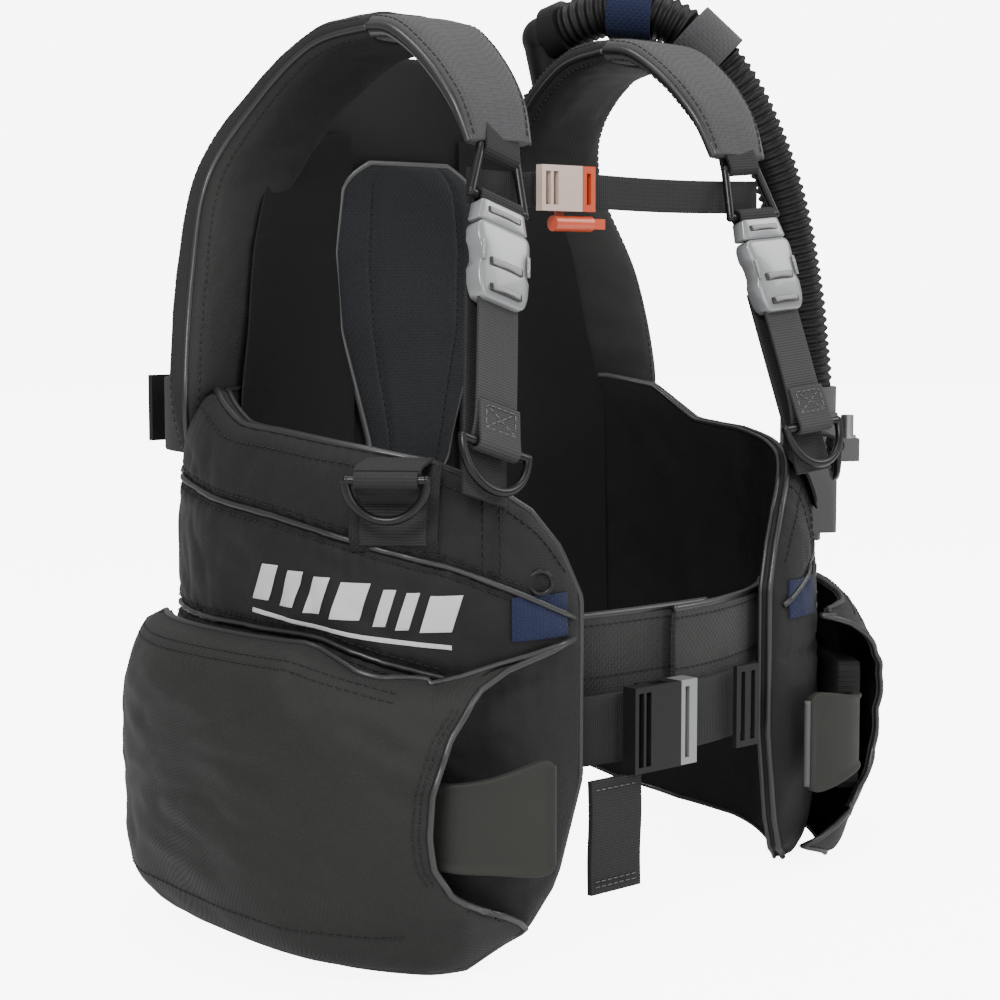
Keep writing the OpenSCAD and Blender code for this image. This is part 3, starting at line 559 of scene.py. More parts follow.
def lobe_out(left, th, z):
    """How far the lobe's cloth stands off the form, in millimetres."""
    u = (LOBE_END[left] - th) / (LOBE_END[left] - lobe_start(left))
    low, top = lobe_low(left, th), lobe_top(left, th)
    v = min(1, max(0, (z - low) / (top - low)))
    soft = crown(min(1, max(0, u))) * crown(v)
    out = EDGE_T + (LOBE_T - EDGE_T) * soft
    side = 1.0 if left else -1.0
    fold = noise.noise(Vector((th * 0.045, z * 0.018 + 0.012 * th, 5.0 * side)))
    crease = noise.noise(Vector((th * 0.16, z * 0.05 - 0.02 * th, 9.0 * side)))
    sharp = 1 - abs(noise.noise(Vector((th * 0.09 + z * 0.02, z * 0.035 - th * 0.03, 2.0 * side)))) * 2
    out += soft * (3.4 * fold + 1.5 * crease - 2.6 * max(0.0, sharp - 0.5))
    if th > lobe_start(left) + 4:
        out += soft * pucker(left, th, z, seam_z(left, th, SEAM_1))
        out += soft * pucker(left, th, z, seam_z(left, th, SEAM_2))
        seam = seam_z(left, th, SEAM_1)
        gusset = math.exp(-((th - GUSSET_TH * LOBE_END[left] / FRONT_TH) / 1.3) ** 2)
        out -= soft * 2.6 * gusset * ease(z, seam - 4, seam + 4)
        out += 0.5 * math.sin(th * 1.9) * math.exp(-abs(z - top) / 9)
    return out


def shade_inside(piece, limit):
    """Gives the faces that look at the wearer the darker inside cloth, a painted shade for the hollow of
    the vest.
    """
    piece.data.materials.append(LOOK["shade_lining"])
    for polygon in piece.data.polygons:
        away = Vector((polygon.center.x, polygon.center.y - BODY_Y * MM, 0))
        if polygon.normal.dot(away.normalized()) < limit:
            polygon.material_index = 1


def make_lobe(left):
    tag = TAG[left]
    start, end = lobe_start(left), LOBE_END[left]
    length = abs(end - start) * 3.3 * MM

    def outer(u, v):
        th = mix(end, start, u)
        z = mix(lobe_low(left, th), lobe_top(left, th), v)
        return at(left, th, lobe_out(left, th, z), z)

    def inner(u, v):
        th = mix(end, start, u)
        z = mix(lobe_low(left, th), lobe_top(left, th), v)
        wave = noise.noise(Vector((th * 0.06, z * 0.03, 20.0)))
        wave += 0.5 * noise.noise(Vector((th * 0.2, z * 0.06, 30.0)))
        return at(left, th, 0.2 - 1.6 * (wave + 1) * crown(u) * crown(v), z)

    lobe = panel("lobe_cell_" + tag, 150, 84, outer, inner, (length, 0.28), "black_nylon",
                 rim=0.0022)
    # Faces that look inwards get the darker inside cloth as painted shade
    shade_inside(lobe, -0.25)
    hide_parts("lobe_" + tag)
    return lobe


lobes = {left: make_lobe(left) for left in (True, False)}
for lobe in lobes.values():
    print(lobe.name, len(lobe.data.polygons), "faces", [round(d, 3) for d in lobe.dimensions])

# %% [markdown]
# ## Piping and sewing on the lobes
# The rims are bound and the seams carry piping. Each line is swept along the same surface, so it
# sits in its own groove; a row of stitches runs beside every one.

# %% Lobe piping and sewing
def on_cloth(left, line, lift=0.0, steps=60):
    """Points on a lobe's outer cloth along rows of (angle, height)."""
    pts = smooth_curve([Vector((a, b, 0)) for a, b in line], max(1, steps // max(1, len(line) - 1)))
    return [at(left, p.x, lobe_out(left, p.x, p.y) + lift, p.y) for p in pts]


def rim_line(left, depth):
    start, end = lobe_start(left) + 1, LOBE_END[left]
    forward = [mix(start, end - 0.2, i / 90) for i in range(91)]
    downward = [mix(lobe_top(left, end), lobe_low(left, end), i / 40) for i in range(1, 40)]
    return ([at(left, th, depth, lobe_top(left, th)) for th in forward]
            + [at(left, end, depth, z) for z in downward]
            + [at(left, th, depth, lobe_low(left, th)) for th in reversed(forward)])


for left in (True, False):
    tag = TAG[left]
    k = LOBE_END[left] / FRONT_TH
    swept("rim_piping_" + tag, [rim_line(left, EDGE_T + 0.4)], 0.0021, "piping")
    swept("rim_binding_" + tag, [rim_line(left, 0.6)], 0.0016, "piping")
    first = [(th * k, seam_z(left, th * k, SEAM_1)) for th in range(44, 161, 5)]
    second = [(th * k, seam_z(left, th * k, SEAM_2)) for th in range(44, 135, 5)]
    gusset_th = GUSSET_TH * k
    gusset_top, gusset_low = lobe_top(left, gusset_th) - 3, seam_z(left, gusset_th, SEAM_1)
    gusset = [(gusset_th, z) for z in (gusset_top, -34, -46, gusset_low)]
    lines = [on_cloth(left, first, 1.3), on_cloth(left, second, 1.3)]
    swept("seam_piping_" + tag, lines, 0.0019, "piping")
    rows = [on_cloth(left, [(a, b + off) for a, b in row], 0.5, 90)
            for row in (first, second) for off in (5.0, -5.0)]
    rows.append(on_cloth(left, [(a + 1.6, b) for a, b in gusset], 0.5, 30))
    rows.append(on_cloth(left, [(a - 1.6, b) for a, b in gusset], 0.5, 30))
    along = [mix(lobe_start(left) + 4, LOBE_END[left] - 3, i / 24) for i in range(25)]
    rows.append(on_cloth(left, [(th, lobe_top(left, th) - 8) for th in along], 0.5, 120))
    stitches("lobe_stitches_" + tag, rows)
print("lobes piped and sewn")

# %% [markdown]
# ## Pockets
# The weight pocket is a bellows of heavier nylon sewn over the lobe, open at the front where the
# pouch slides out. A solid slab would close that mouth, so the skin is a thin shell whose front
# edge sweeps forward and up over the pouch handle.

# %% Pockets
POCKET_BACK, POCKET_FRONT, MOUTH_PULL = 62, 133, 0.955
POCKET_TOP = [(62, -104), (107, -104), (133, -123), (140, -120), (150, -113), (160, -105)]
# Rows of (height, angle) of the mouth's edge
MOUTH = [(-268, 155), (-258, 150), (-246, 141), (-232, 136), (-215, 133.5), (-198, 133),
         (-175, 133.4), (-147, 136), (-127, 140), (-117, 146), (-107, 158.5)]


def pocket_out(left, th, z):
    k = LOBE_END[left] / FRONT_TH
    low, top = lobe_low(left, th) + 2, table(th, POCKET_TOP)
    v = min(1, max(0, (z - low) / (top - low)))
    u = min(1, max(0, (POCKET_FRONT - th) / (POCKET_FRONT - POCKET_BACK)))
    ahead = 1 - 0.9 * ease(th, POCKET_FRONT, POCKET_FRONT + 22 * k)
    tuck = 1 - 0.55 * ease(th, 108, 134) * (1 - ease(z, low + 8, low + 92))
    soft = crown(v) * crown(mix(0.5, 0.96, u)) * ahead * tuck
    side = 1.0 if left else -1.0
    fold = noise.noise(Vector((th * 0.05, z * 0.03 - th * 0.02, 40.0 * side)))
    crease = noise.noise(Vector((th * 0.17 + z * 0.03, z * 0.07, 50.0 * side)))
    sag = math.exp(-((z - (low + 24)) / 14) ** 2) * math.sin(th * 0.42) * 0.7
    merge = ease(th, POCKET_FRONT - 3, POCKET_FRONT + 14 * k)
    rest = mix(LOBE_T + 5.6, lobe_out(left, th, z) + 3.4, merge)
    sharp = 1 - abs(noise.noise(Vector((th * 0.07 - z * 0.02, z * 0.03 + th * 0.02, 12.0 * side)))) * 2
    creases = 3.2 * fold + 1.6 * crease + sag - 2.4 * max(0.0, sharp - 0.5)
    return rest + (POCKET_T - 5) * soft + soft * creases


def make_pocket(left):
    tag = TAG[left]
    k = MOUTH_PULL if left else 1

    def spot(u, v):
        z = mix(-284, -100, v)
        for _ in range(3):
            th = mix(table(z, MOUTH) * k, POCKET_BACK, u)
            z = mix(lobe_low(left, th) + 2, table(th, POCKET_TOP), v)
        return mix(table(z, MOUTH) * k, POCKET_BACK, u), z

    def outer(u, v):
        th, z = spot(u, v)
        return at(left, th, pocket_out(left, th, z), z)

    def inner(u, v):
        th, z = spot(u, v)
        return at(left, th, pocket_out(left, th, z) - 3.2, z)

    pocket = panel("pocket_skin_" + tag, 110, 70, outer, inner, (0.27, 0.18), "pocket_nylon",
                   rim=0.001)
    # Faces that look inwards get the darker inside cloth as painted shade
    shade_inside(pocket, -0.2)
    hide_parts("pocket_" + tag)
    mouth = [outer(0, i / 60) for i in range(61)]
    top = [outer(i / 60, 1) for i in range(61)]
    low = [outer(i / 60, 0) for i in range(61)]
    back = [outer(1, i / 30) for i in range(31)]
    swept("pocket_piping_" + tag, [mouth, top, low, back], 0.0019, "piping")

    def row(th_of, z_of, n=50):
        pts = []
        for i in range(n + 1):
            th, z = th_of(i / n), z_of(i / n)
            pts.append(at(left, th, pocket_out(left, th, z) + 0.3, z))
        return pts
    rows = [row(lambda q: mix(66, 128, q), lambda q: table(mix(66, 128, q), POCKET_TOP) - below)
            for below in (6, 10)]
    rows.append(row(lambda q: mix(66, 129, q), lambda q: lobe_low(left, mix(66, 129, q)) + 26))
    for behind in (1.65, 2.64):
        rows.append(row(lambda q: table(mix(-225, -130, q), MOUTH) * k - behind,
                        lambda q: mix(-225, -130, q)))
    stitches("pocket_stitches_" + tag, rows)
    return pocket


pockets = {left: make_pocket(left) for left in (True, False)}
for pocket in pockets.values():
    print(pocket.name, [round(d, 3) for d in pocket.dimensions])

# %% [markdown]
# ## Weight pouches and their handles
# A pouch is a stuffed cloth block that slides in the pocket, with a moulded handle at its front.
# The block is a bevelled cube with cloth swell; the handle is a bent slab with a raised rim.

# %% Pouches and handles
POUCH_Z = -LOBE_DEPTH * 0.69
POUCH_L, POUCH_H, POUCH_T = 100, 84, 22


def pouch_frame(left):
    out = sideways(left, 116)
    out = Vector((out.y, -out.x, 0)) * (-1 if left else 1)
    base = at(left, 116, LOBE_T + 0.6 + 2.5 + 1 + POUCH_T / 2, POUCH_Z)
    ahead = sideways(left, 116)
    return base, out, ahead


# Rows of (outwards, ahead of the pouch's front, height of the handle)
HANDLE = smooth_curve([(x, -POUCH_L / 2 - y, tall) for x, y, tall in (
    (0, 1, 46), (1, 15, 48), (-8, 31, 52), (-23, 45, 60), (-40, 55, 66))], 6)
for left in (True, False):
    tag = TAG[left]
    base, out, ahead = pouch_frame(left)
    if out.dot(at(left, 116, 50, 0) - at(left, 116, 0, 0)) < 0:
        out = -out
    bm = bmesh.new()
    bmesh.ops.create_cube(bm, size=1)
    bmesh.ops.subdivide_edges(bm, edges=bm.edges[:], cuts=14, use_grid_fill=True)
    for v in bm.verts:
        q = v.co.copy()
        swell = 1 + 0.05 * noise.noise(q * 4 + Vector((1, 2, 3)))
        x = q.x * POUCH_T * 0.96 * swell * (1 - 0.35 * max(abs(q.y * 2), abs(q.z * 2)) ** 6)
        up = Vector((0, 0, q.z * (POUCH_H - 1)))
        v.co = base + (out * x + ahead * (-q.y * (POUCH_L - 1)) + up) * MM
    layer = bm.loops.layers.uv.new("UVMap")
    for face in bm.faces:
        for loop in face.loops:
            d = loop.vert.co - base
            loop[layer].uv = (d.dot(ahead), d.z)
    pouch = keep("pouch_" + tag + "_block", bm, "pouch_fabric", "pouch_" + tag)
    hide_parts("weight_pouch_" + tag)

    def grip(u, v, lift):
        i = u * (len(HANDLE) - 1)
        a, b = HANDLE[int(i)], HANDLE[min(len(HANDLE) - 1, int(i) + 1)]
        p = a.lerp(b, i - int(i))
        d = HANDLE[min(len(HANDLE) - 1, int(i) + 1)] - HANDLE[max(0, int(i) - 1)]
        nrm = Vector((-d.y, d.x, 0)).normalized()
        rimmed = lift + (1.2 if abs(v - 0.5) > 0.42 or u > 0.93 else 0) * (1 if lift > 0 else 0)
        corner = (u - 0.8) / 0.2 if u > 0.8 else 0
        z = (v - 0.5) * p.z * (1 - 0.18 * corner ** 3)
        sunk = out * (p.x + nrm.x * rimmed) + ahead * -(p.y + nrm.y * rimmed)
        return base + (sunk + Vector((0, 0, z))) * MM
    handle = panel("handle_" + tag, 40, 24, lambda u, v: grip(u, v, -2.3), lambda u, v: grip(u, v, 2.3),
                   (0.07, 0.06), "handle_rubber", "pouch_" + tag, 0.0009)
    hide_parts("pouch_handle_" + tag)
    # A lighter grey rod along the handle's far edge is a painted highlight
    edge = [grip(1, i / 20, 0) for i in range(21)]
    swept("handle_edge_highlight_" + tag, [edge], 0.0024, "grey_plastic", "pouch_" + tag)
    print(handle.name, [round(c, 3) for c in handle.dimensions])

# %% [markdown]
# ## Back cushion, back panel and shoulder wings
# The cushion is foam under brushed cloth, so it is one swelling panel with sewn channels. The
# wings carry air over the shoulders; they are lofted from the same sections as the CAD, with the
# cloth's folds added across them.

# %% Cushion, back and wings
PAD_HALF = [(-38, 30), (-10, 36), (60, 58), (110, 62), (150, 56), (168, 44)]
PANEL_HALF = [(20, 127), (27, 117), (95, 103), (155, 94), (172, 88), (195, 84), (222, 72), (238, 56)]
PANEL_TOP = 238


def pad_point(u, v, back=False):
    z = mix(-38, 168, v)
    corner = 1 - 0.25 * max(0, (abs(2 * v - 1) - 0.86) / 0.14) ** 2
    x = mix(-1, 1, u) * table(z, PAD_HALF) * corner
    if back:
        return Vector((x, -BACK_Y, z)) * MM
    swell = crown(u) * crown(v)
    channel = math.exp(-((abs(2 * u - 1) - 0.62) / 0.05) ** 2)
    dent = 1.2 * noise.noise(Vector((x * 0.03, z * 0.025, 8.0)))
    return Vector((x, -BACK_Y - 4 - (9 + dent) * swell + 2.6 * channel * swell, z)) * MM


pad = panel("cushion", 60, 90, pad_point, lambda u, v: pad_point(u, v, True), (0.12, 0.206),
            "back_cushion", rim=0.0015)
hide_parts("back_pad")
edge = ([pad_point(0, i / 60) for i in range(61)] + [pad_point(i / 30, 1) for i in range(1, 31)]
        + [pad_point(1, 1 - i / 60) for i in range(1, 61)]
        + [pad_point(1 - i / 30, 0) for i in range(1, 31)])
# The piping is real; its light colour is a painted highlight along the cushion's edge
swept("cushion_piping_highlight", [edge], 0.0019, "light_trim_and_highlight")
proud = Vector((0, -0.0003, 0))
stitches("cushion_stitches", [[pad_point(u, mix(0.05, 0.95, i / 50)) + proud for i in range(51)]
                              for u in (0.19, 0.81)])


def back_sheet(u, v, out):
    z = mix(-0.82 * LOBE_DEPTH, PANEL_TOP, v)
    x = mix(-1, 1, u) * table(z, PANEL_HALF)
    ripple = 0.8 * noise.noise(Vector((x * 0.02, z * 0.02, 3.0)))
    return Vector((x, -BACK_Y + 0.6 + out - ripple * crown(u) * crown(v), z)) * MM


back = panel("back_cloth", 60, 90, lambda u, v: back_sheet(u, v, 0.4),
             lambda u, v: back_sheet(u, v, 5.8), (0.23, 0.40), "black_nylon",
             rim=0.001)
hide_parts("back_panel")

# Inside cloth that runs from the back onto each lobe and wing, so that no gap shows at the corner; its
# colour, darker than the outer nylon, is painted shade
LINER_END = [(-240, 52), (0, 50), (24, 48), (60, 44), (110, 40), (150, 34), (185, 26)]
for left in (True, False):
    tag = TAG[left]

    def liner(u, v, out, left=left):
        z = mix(-228, 185, v)
        th = mix(9, table(z, LINER_END), u)
        ripple = noise.noise(Vector((th * 0.06, z * 0.02, 90.0)))
        x, y = wrap(left, th, -2.2 - 0.8 * ripple + out)
        y = min(y, -BACK_Y - 0.4 + out - 0.4 * u)
        return Vector((x if left else -x, y, z)) * MM
    shade_lining = panel("corner_shade_lining_" + tag, 50, 80, lambda u, v: liner(u, v, 0),
                   lambda u, v: liner(u, v, -1.2), (0.12, 0.41), "shade_lining",
                   rim=0.0003)

WING_END = Vector((STRAP_X - 4, -BACK_Y - 122, SHOULDER_Z))


def wing_sections(left):
    def near(th, t, z):
        return Vector((*wrap(False, th, t), z))

    d44 = (near(44.5, 10, 0) - near(43.5, 10, 0)).normalized()
    d37 = (near(37.5, 10, 0) - near(36.5, 10, 0)).normalized()
    low = near(44, 15, 27.5) - d44 * (6 if left else 0)
    wide = d44 * (45 if left else 51)
    # The lowest section runs down inside the lobe, where the two cells are welded together
    return [(low - Vector((0, 0, 36)), wide * 0.9, 9), (low, wide, 15),
            (near(38, 16, 0.4 * SHOULDER_Z), d37 * 43, 18),
            (Vector((STRAP_X + 31, -BACK_Y - 4, 0.65 * SHOULDER_Z)), Vector((36, -9, 0)), 18),
            (Vector((STRAP_X + 13, -BACK_Y - 30, SHOULDER_Z - 38)), Vector((32, -4, 0)), 16),
            (Vector((STRAP_X + 2, -BACK_Y - 76, SHOULDER_Z - 7)), Vector((33, 0, 0)), 13),
            (WING_END, Vector((33, 0, 0)), 10)]


def lofted(sections, steps, left, fold, square=0.6):
    """surface(u, a) through flattened sections, with fold(u, a) added to the thickness."""
    c = smooth_curve([s[0] for s in sections], steps)
    w = smooth_curve([s[1] for s in sections], steps)
    t = smooth_curve([Vector((s[2], 0, 0)) for s in sections], steps)
    n = len(c) - 1

    def surface(u, a):
        i = min(n, max(0, round(u * n)))
        d = c[min(n, i + 1)] - c[max(0, i - 1)]
        up = w[i].cross(d).normalized()
        ca, sa = math.cos(a), math.sin(a)
        p = (c[i] + w[i] * math.copysign(abs(ca) ** square, ca)
             + up * (t[i].x + fold(u, a)) * math.copysign(abs(sa) ** square, sa))
        return Vector((p.x if left else -p.x, p.y, p.z)) * MM
    return surface, n


for left in (True, False):
    tag = TAG[left]
    side = 1.0 if left else -1.0
    fold = lambda u, a: (1.5 * noise.noise(Vector((u * 9, math.cos(a) * 1.2, 60.0 * side)))
                         + 0.8 * noise.noise(Vector((u * 26, math.cos(a) * 3, 70.0 * side))) - 0.6)
    surface, n = lofted(wing_sections(left), 16, left, fold)
    wing = round_form("wing_cell_" + tag, n, 64, surface, (0.42, 0.2), "bladder_nylon")
    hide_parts("wing_" + tag)
    edges = [[surface(i / 80, a) for i in range(81)] for a in (0.02, math.pi - 0.02)]
    swept("wing_piping_" + tag, edges, 0.0020, "piping")
    rows = [[surface(i / 80, a) for i in range(2, 79)]
            for a in (0.42, math.pi - 0.42, -0.42, math.pi + 0.42)]
    stitches("wing_stitches_" + tag, rows, radius=0.0006)
    print(wing.name, [round(c, 3) for c in wing.dimensions])

# %% [markdown]
# ## Shoulder cushions
# Each strap's cushion is knitted cloth over foam, narrowing down to the ring. It is a loft like
# the wing, finished with a dark binding, a bright piping on the outer edge and rows of sewing.

# %% Shoulder cushions
STRAP_TOP = Vector((STRAP_X, -BACK_Y - 204, SHOULDER_Z - 70))
PAD_SECTIONS = [(WING_END + Vector((0, -1.5, 0)), Vector((33, 0, 0)), 8),
                (Vector((STRAP_X - 3, -BACK_Y - 146, SHOULDER_Z - 4)), Vector((33, 0, 0)), 7),
                (Vector((STRAP_X - 2, -BACK_Y - 172, SHOULDER_Z - 22)), Vector((30, 0, 0)), 6.5),
                (Vector((STRAP_X - 1, -BACK_Y - 193, SHOULDER_Z - 46)), Vector((26, 0, 0)), 6),
                (STRAP_TOP, Vector((22, 0, 0)), 4)]
for left in (True, False):
    tag = TAG[left]
    fold = lambda u, a: (0.5 * noise.noise(Vector((u * 8, math.cos(a) * 2, 5.0)))
                         - 0.9 * math.exp(-((abs(math.cos(a)) - 0.72) / 0.06) ** 2))
    surface, n = lofted(PAD_SECTIONS, 16, left, fold, 0.5)
    cushion = round_form("strap_cushion_" + tag, n, 64, surface, (0.14, 0.13), "strap_fabric")
    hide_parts("shoulder_pad_" + tag)
    sides = [[surface(i / 60, a) for i in range(61)] for a in (0.0, math.pi)]
    swept("strap_binding_" + tag, sides, 0.0026, "piping")
    swept("strap_piping_" + tag, [[surface(i / 60, 0.30) for i in range(2, 59)]], 0.0011, "light_trim_and_highlight")
    rows = [[surface(i / 60, a) for i in range(2, 59)]
            for a in (0.62, math.pi - 0.62, -0.62, math.pi + 0.62)]
    stitches("strap_stitches_" + tag, rows, radius=0.0006)
    print(cushion.name, [round(c, 3) for c in cushion.dimensions])

# %% [markdown]
# ## Strap webbing
# All load is carried by 32 mm ribbed webbing. Each run is a ribbon along its own path: through
# the ring, behind the buckle to the lobe, and down from the socket round the pull ring's bar. The
# paths are drawn in the strap's own plane and turned with it, which is simpler than bending in
# space, and the tail rides with the socket because it moves with it.

# %% Strap webbing
WEB_W, WEB_T, WIRE = 32, 2, 2.5
RING_TOP, RING_H = -7, 31
INSERT_TOP = RING_TOP - RING_H - WIRE - 0.6
SOCKET_LOW = INSERT_TOP - 13 - 0.4 - 31 - 15


def strap_foot(left):
    th = 146 if left else 143
    return Vector((*wrap(left, th, LOBE_T + 6), -24))


def strap_place(left):
    run = strap_foot(left) - STRAP_TOP
    swing = -math.asin(run.x / math.hypot(run.x, run.z))
    tilt = math.asin(run.y / run.length)
    turn = Matrix.Translation(STRAP_TOP) @ Matrix.Rotation(swing, 4, "Y") @ Matrix.Rotation(tilt, 4, "X")

    def place(x, y, z):
        p = turn @ Vector((x, y, z))
        return Vector((p.x if left else -p.x, p.y, p.z)) * MM
    return place, run.length


def strap_ribbon(name, left, path, width, **more):
    place, _ = strap_place(left)
    half = place(width / 2, 0, 0) - place(0, 0, 0)
    points = smooth_curve([place(0, y, z) for y, z in path], 6)
    return ribbon(name, points, half, WEB_T * MM, steps=len(points) * 2, **more)


for left in (True, False):
    tag = TAG[left]
    place, length = strap_place(left)
    low = -length + 28
    load_path = [(7.9, SOCKET_LOW + 15), (7.9, -120), (7.6, -length + 30), (7.2, -length)]
    load = strap_ribbon("load_run_" + tag, left, load_path, WEB_W)
    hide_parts("load_webbing_" + tag)
    socket_body = "shoulder_socket_" + tag
    tail_path = [(-1, SOCKET_LOW + 7), (-1.2, SOCKET_LOW - 16)]
    tail_path += [(y, low + z) for y, z in (
        (-1, 22), (0.6, 9), (2.5, 2), (2.3, -1.6), (0.8, -3.4), (-1.4, -3.8), (-3.6, -2.8),
        (-4.7, 0), (-4.1, 8), (-3.5, 24))]
    tail = strap_ribbon("tail_run_" + tag, left, tail_path, WEB_W - 2, look="light_webbing",
                        body=socket_body)
    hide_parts("tail_webbing_" + tag)
    tail_len = Line(smooth_curve([place(0, y, z) for y, z in tail_path], 6)).length
    # Loops round the triangular ring: half of each path, mirrored in front
    half_top = [(1.2, 14), (2.6, 4), (3.6, RING_TOP), (2.6, RING_TOP - 2.6)]
    top_loop = half_top + [(0, RING_TOP - 3.7)] + [(-y, z) for y, z in reversed(half_top)]
    strap_ribbon("ring_loop_" + tag, left, top_loop, 26)
    ring_low = RING_TOP - RING_H
    half_low = [(1.0, ring_low - 11), (2.4, ring_low - 6), (3.7, ring_low), (2.6, ring_low + 2.6)]
    low_loop = half_low + [(0, ring_low + 3.7)] + [(-y, z) for y, z in reversed(half_low)]
    strap_ribbon("insert_loop_" + tag, left, low_loop, WEB_W)
    box = [[place(x, -4.9, z) for x, z in row] for row in (
        [(-11, low + 8), (11, low + 8), (11, low + 21), (-11, low + 21), (-11, low + 8)],
        [(-11, low + 8), (11, low + 21)], [(11, low + 8), (-11, low + 21)])]
    stitches("tail_stitches_" + tag, box, "light_trim_and_highlight", socket_body)
    print(tail.name, round(tail_len, 4), "m of webbing")

# %% [markdown]
# ## Shoulder buckles
# The side-release buckle is a moulded shell: broad at the mouth, waisted at the side windows and
# narrow at the ladder, with slots where the webbing turns. The plain CAD box would look milled,
# so a bevelled block is shaped along its length, and the slots are laid in as dark blocks: painted
# shade in place of open wells.

# %% Shoulder buckles
# Rows of (share of the length, half-width)
SOCKET_SHAPE = [(0.0, 19.0), (0.10, 20.0), (0.26, 20.0), (0.34, 17.6), (0.52, 17.2), (0.62, 19.6),
                (0.80, 19.0), (1.0, 16.0)]
INSERT_SHAPE = [(0.0, 16.5), (0.35, 17.5), (0.8, 18.8), (1.0, 19.6)]


def block(name, left, z0, z1, shape, front, back, look, body, dome=1.6):
    place, _ = strap_place(left)
    bm = bmesh.new()
    bmesh.ops.create_cube(bm, size=1)
    bmesh.ops.bevel(bm, geom=bm.edges[:], offset=0.11, offset_type="OFFSET", segments=3, profile=0.5,
                    affect="EDGES", material=-1, clamp_overlap=True)
    cuts = [((0, 0, n / 16 - 0.5), (0, 0, 1)) for n in range(1, 16)]
    cuts += [((n / 10 - 0.5, 0, 0), (1, 0, 0)) for n in range(1, 10)]
    for point, way in cuts:
        bmesh.ops.bisect_plane(bm, geom=bm.verts[:] + bm.edges[:] + bm.faces[:], plane_co=point,
                               plane_no=way)
    for v in bm.verts:
        k = 0.5 - v.co.z
        x = v.co.x * 2 * table(k, shape)
        y = mix(-front, back, v.co.y + 0.5)
        if v.co.y < 0:
            y -= dome * (1 - (2 * v.co.x) ** 2) * math.sin(math.pi * min(1, max(0, k))) * 0.9
        v.co = place(x, y, mix(z0, z1, k))
    return keep(name, bm, look, body)


for left in (True, False):
    tag = TAG[left]
    body = "shoulder_socket_" + tag
    top = INSERT_TOP - 13 - 0.4
    place, _ = strap_place(left)
    shell = block("buckle_shell_" + tag, left, top, SOCKET_LOW, SOCKET_SHAPE, 6.5, 5.5,
                  "silver_plastic", body)
    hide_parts("buckle_socket_" + tag)
    # The slots are dark blocks laid on the shell: painted shade for the open wells
    for n, (a, b, wide) in enumerate(((-22, -27, 12.5), (-37.5, -42, 12.0))):
        block("buckle_slot_shade_%s_%d" % (tag, n), left, top + a, top + b, [(0, wide), (1, wide)],
              8.4, -5.2, "button_plastic", body, 0.2)
    for s in (-1, 1):
        rail = [place(s * 17.4, -7.2, top + z) for z in (-13, -17, -21, -25)]
        swept("buckle_rib_%s_%d" % (tag, s > 0), [rail], 0.0011, "silver_plastic", body,
              3)
    plug = block("buckle_plug_" + tag, left, INSERT_TOP, INSERT_TOP - 13, INSERT_SHAPE, 5.2, 5.0,
                 "silver_plastic", "vest", 0.8)
    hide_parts("buckle_insert_" + tag)
    # The plug's slot is a dark block as well: painted shade
    block("buckle_plug_slot_shade_" + tag, left, INSERT_TOP - 4.2, INSERT_TOP - 8, [(0, 12.5), (1, 12.5)],
          6.3, -4.0, "button_plastic", "vest", 0.2)
    for s in (-1, 1):
        prong = [place(s * x, 0, INSERT_TOP - z) for x, z in ((11.5, 12), (12.5, 26), (11.0, 37))]
        swept("buckle_prong_%s_%d" % (tag, s > 0), [prong], 0.0026, "silver_plastic", "vest",
              3)
    print(shell.name, [round(c, 3) for c in shell.dimensions])

# %% [markdown]
# ## Chest strap
# 20 mm webbing runs behind the strap rings to a small side-release buckle, with a whistle on it.
# A straight ribbon would look stiff, so each web sags a little between the ring and the buckle.
# The buckle and the whistle are hard parts and keep their own shape.

# %% Chest strap
k_left = (RING_H * 0.5 - RING_TOP + 4) / strap_place(True)[1]
k_right = (RING_H * 0.5 - RING_TOP + 4) / strap_place(False)[1]
point_left = STRAP_TOP.lerp(strap_foot(True), k_left)
point_right = STRAP_TOP.lerp(strap_foot(False), k_right)
chest_y = point_left.y + 1.1 * WIRE + 0.6 + 3.4 + WEB_T / 2
chest_z = point_right.z
for tag, x0, x1 in (("left", -42, point_left.x + 16), ("right", -(point_right.x + 16), -58)):
    bow = 1.2 if tag == "left" else 0
    points = []
    for i in range(25):
        bend = math.sin(math.pi * i / 24)
        points.append(Vector((mix(x0, x1, i / 24), chest_y + bow * bend, chest_z - 1.5 * bend)) * MM)
    web = ribbon("chest_run_" + tag, points, Vector((0, 0, 0.010)), WEB_T * MM, steps=48)
    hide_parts("sternum_web_" + tag)
    Line(points).length
    print(web.name, round(Line(points).length, 4), "m")

# %% [markdown]
# ## Waist: inner band and belt
# The inner band is brushed cloth over foam that closes on itself; a 40 mm belt lies over it, and
# its loose end hangs below the buckle. Both could be bent with a curve modifier, but laying them
# on the body form keeps them clear of the lobes. Bound edges and three rows of sewing finish it.

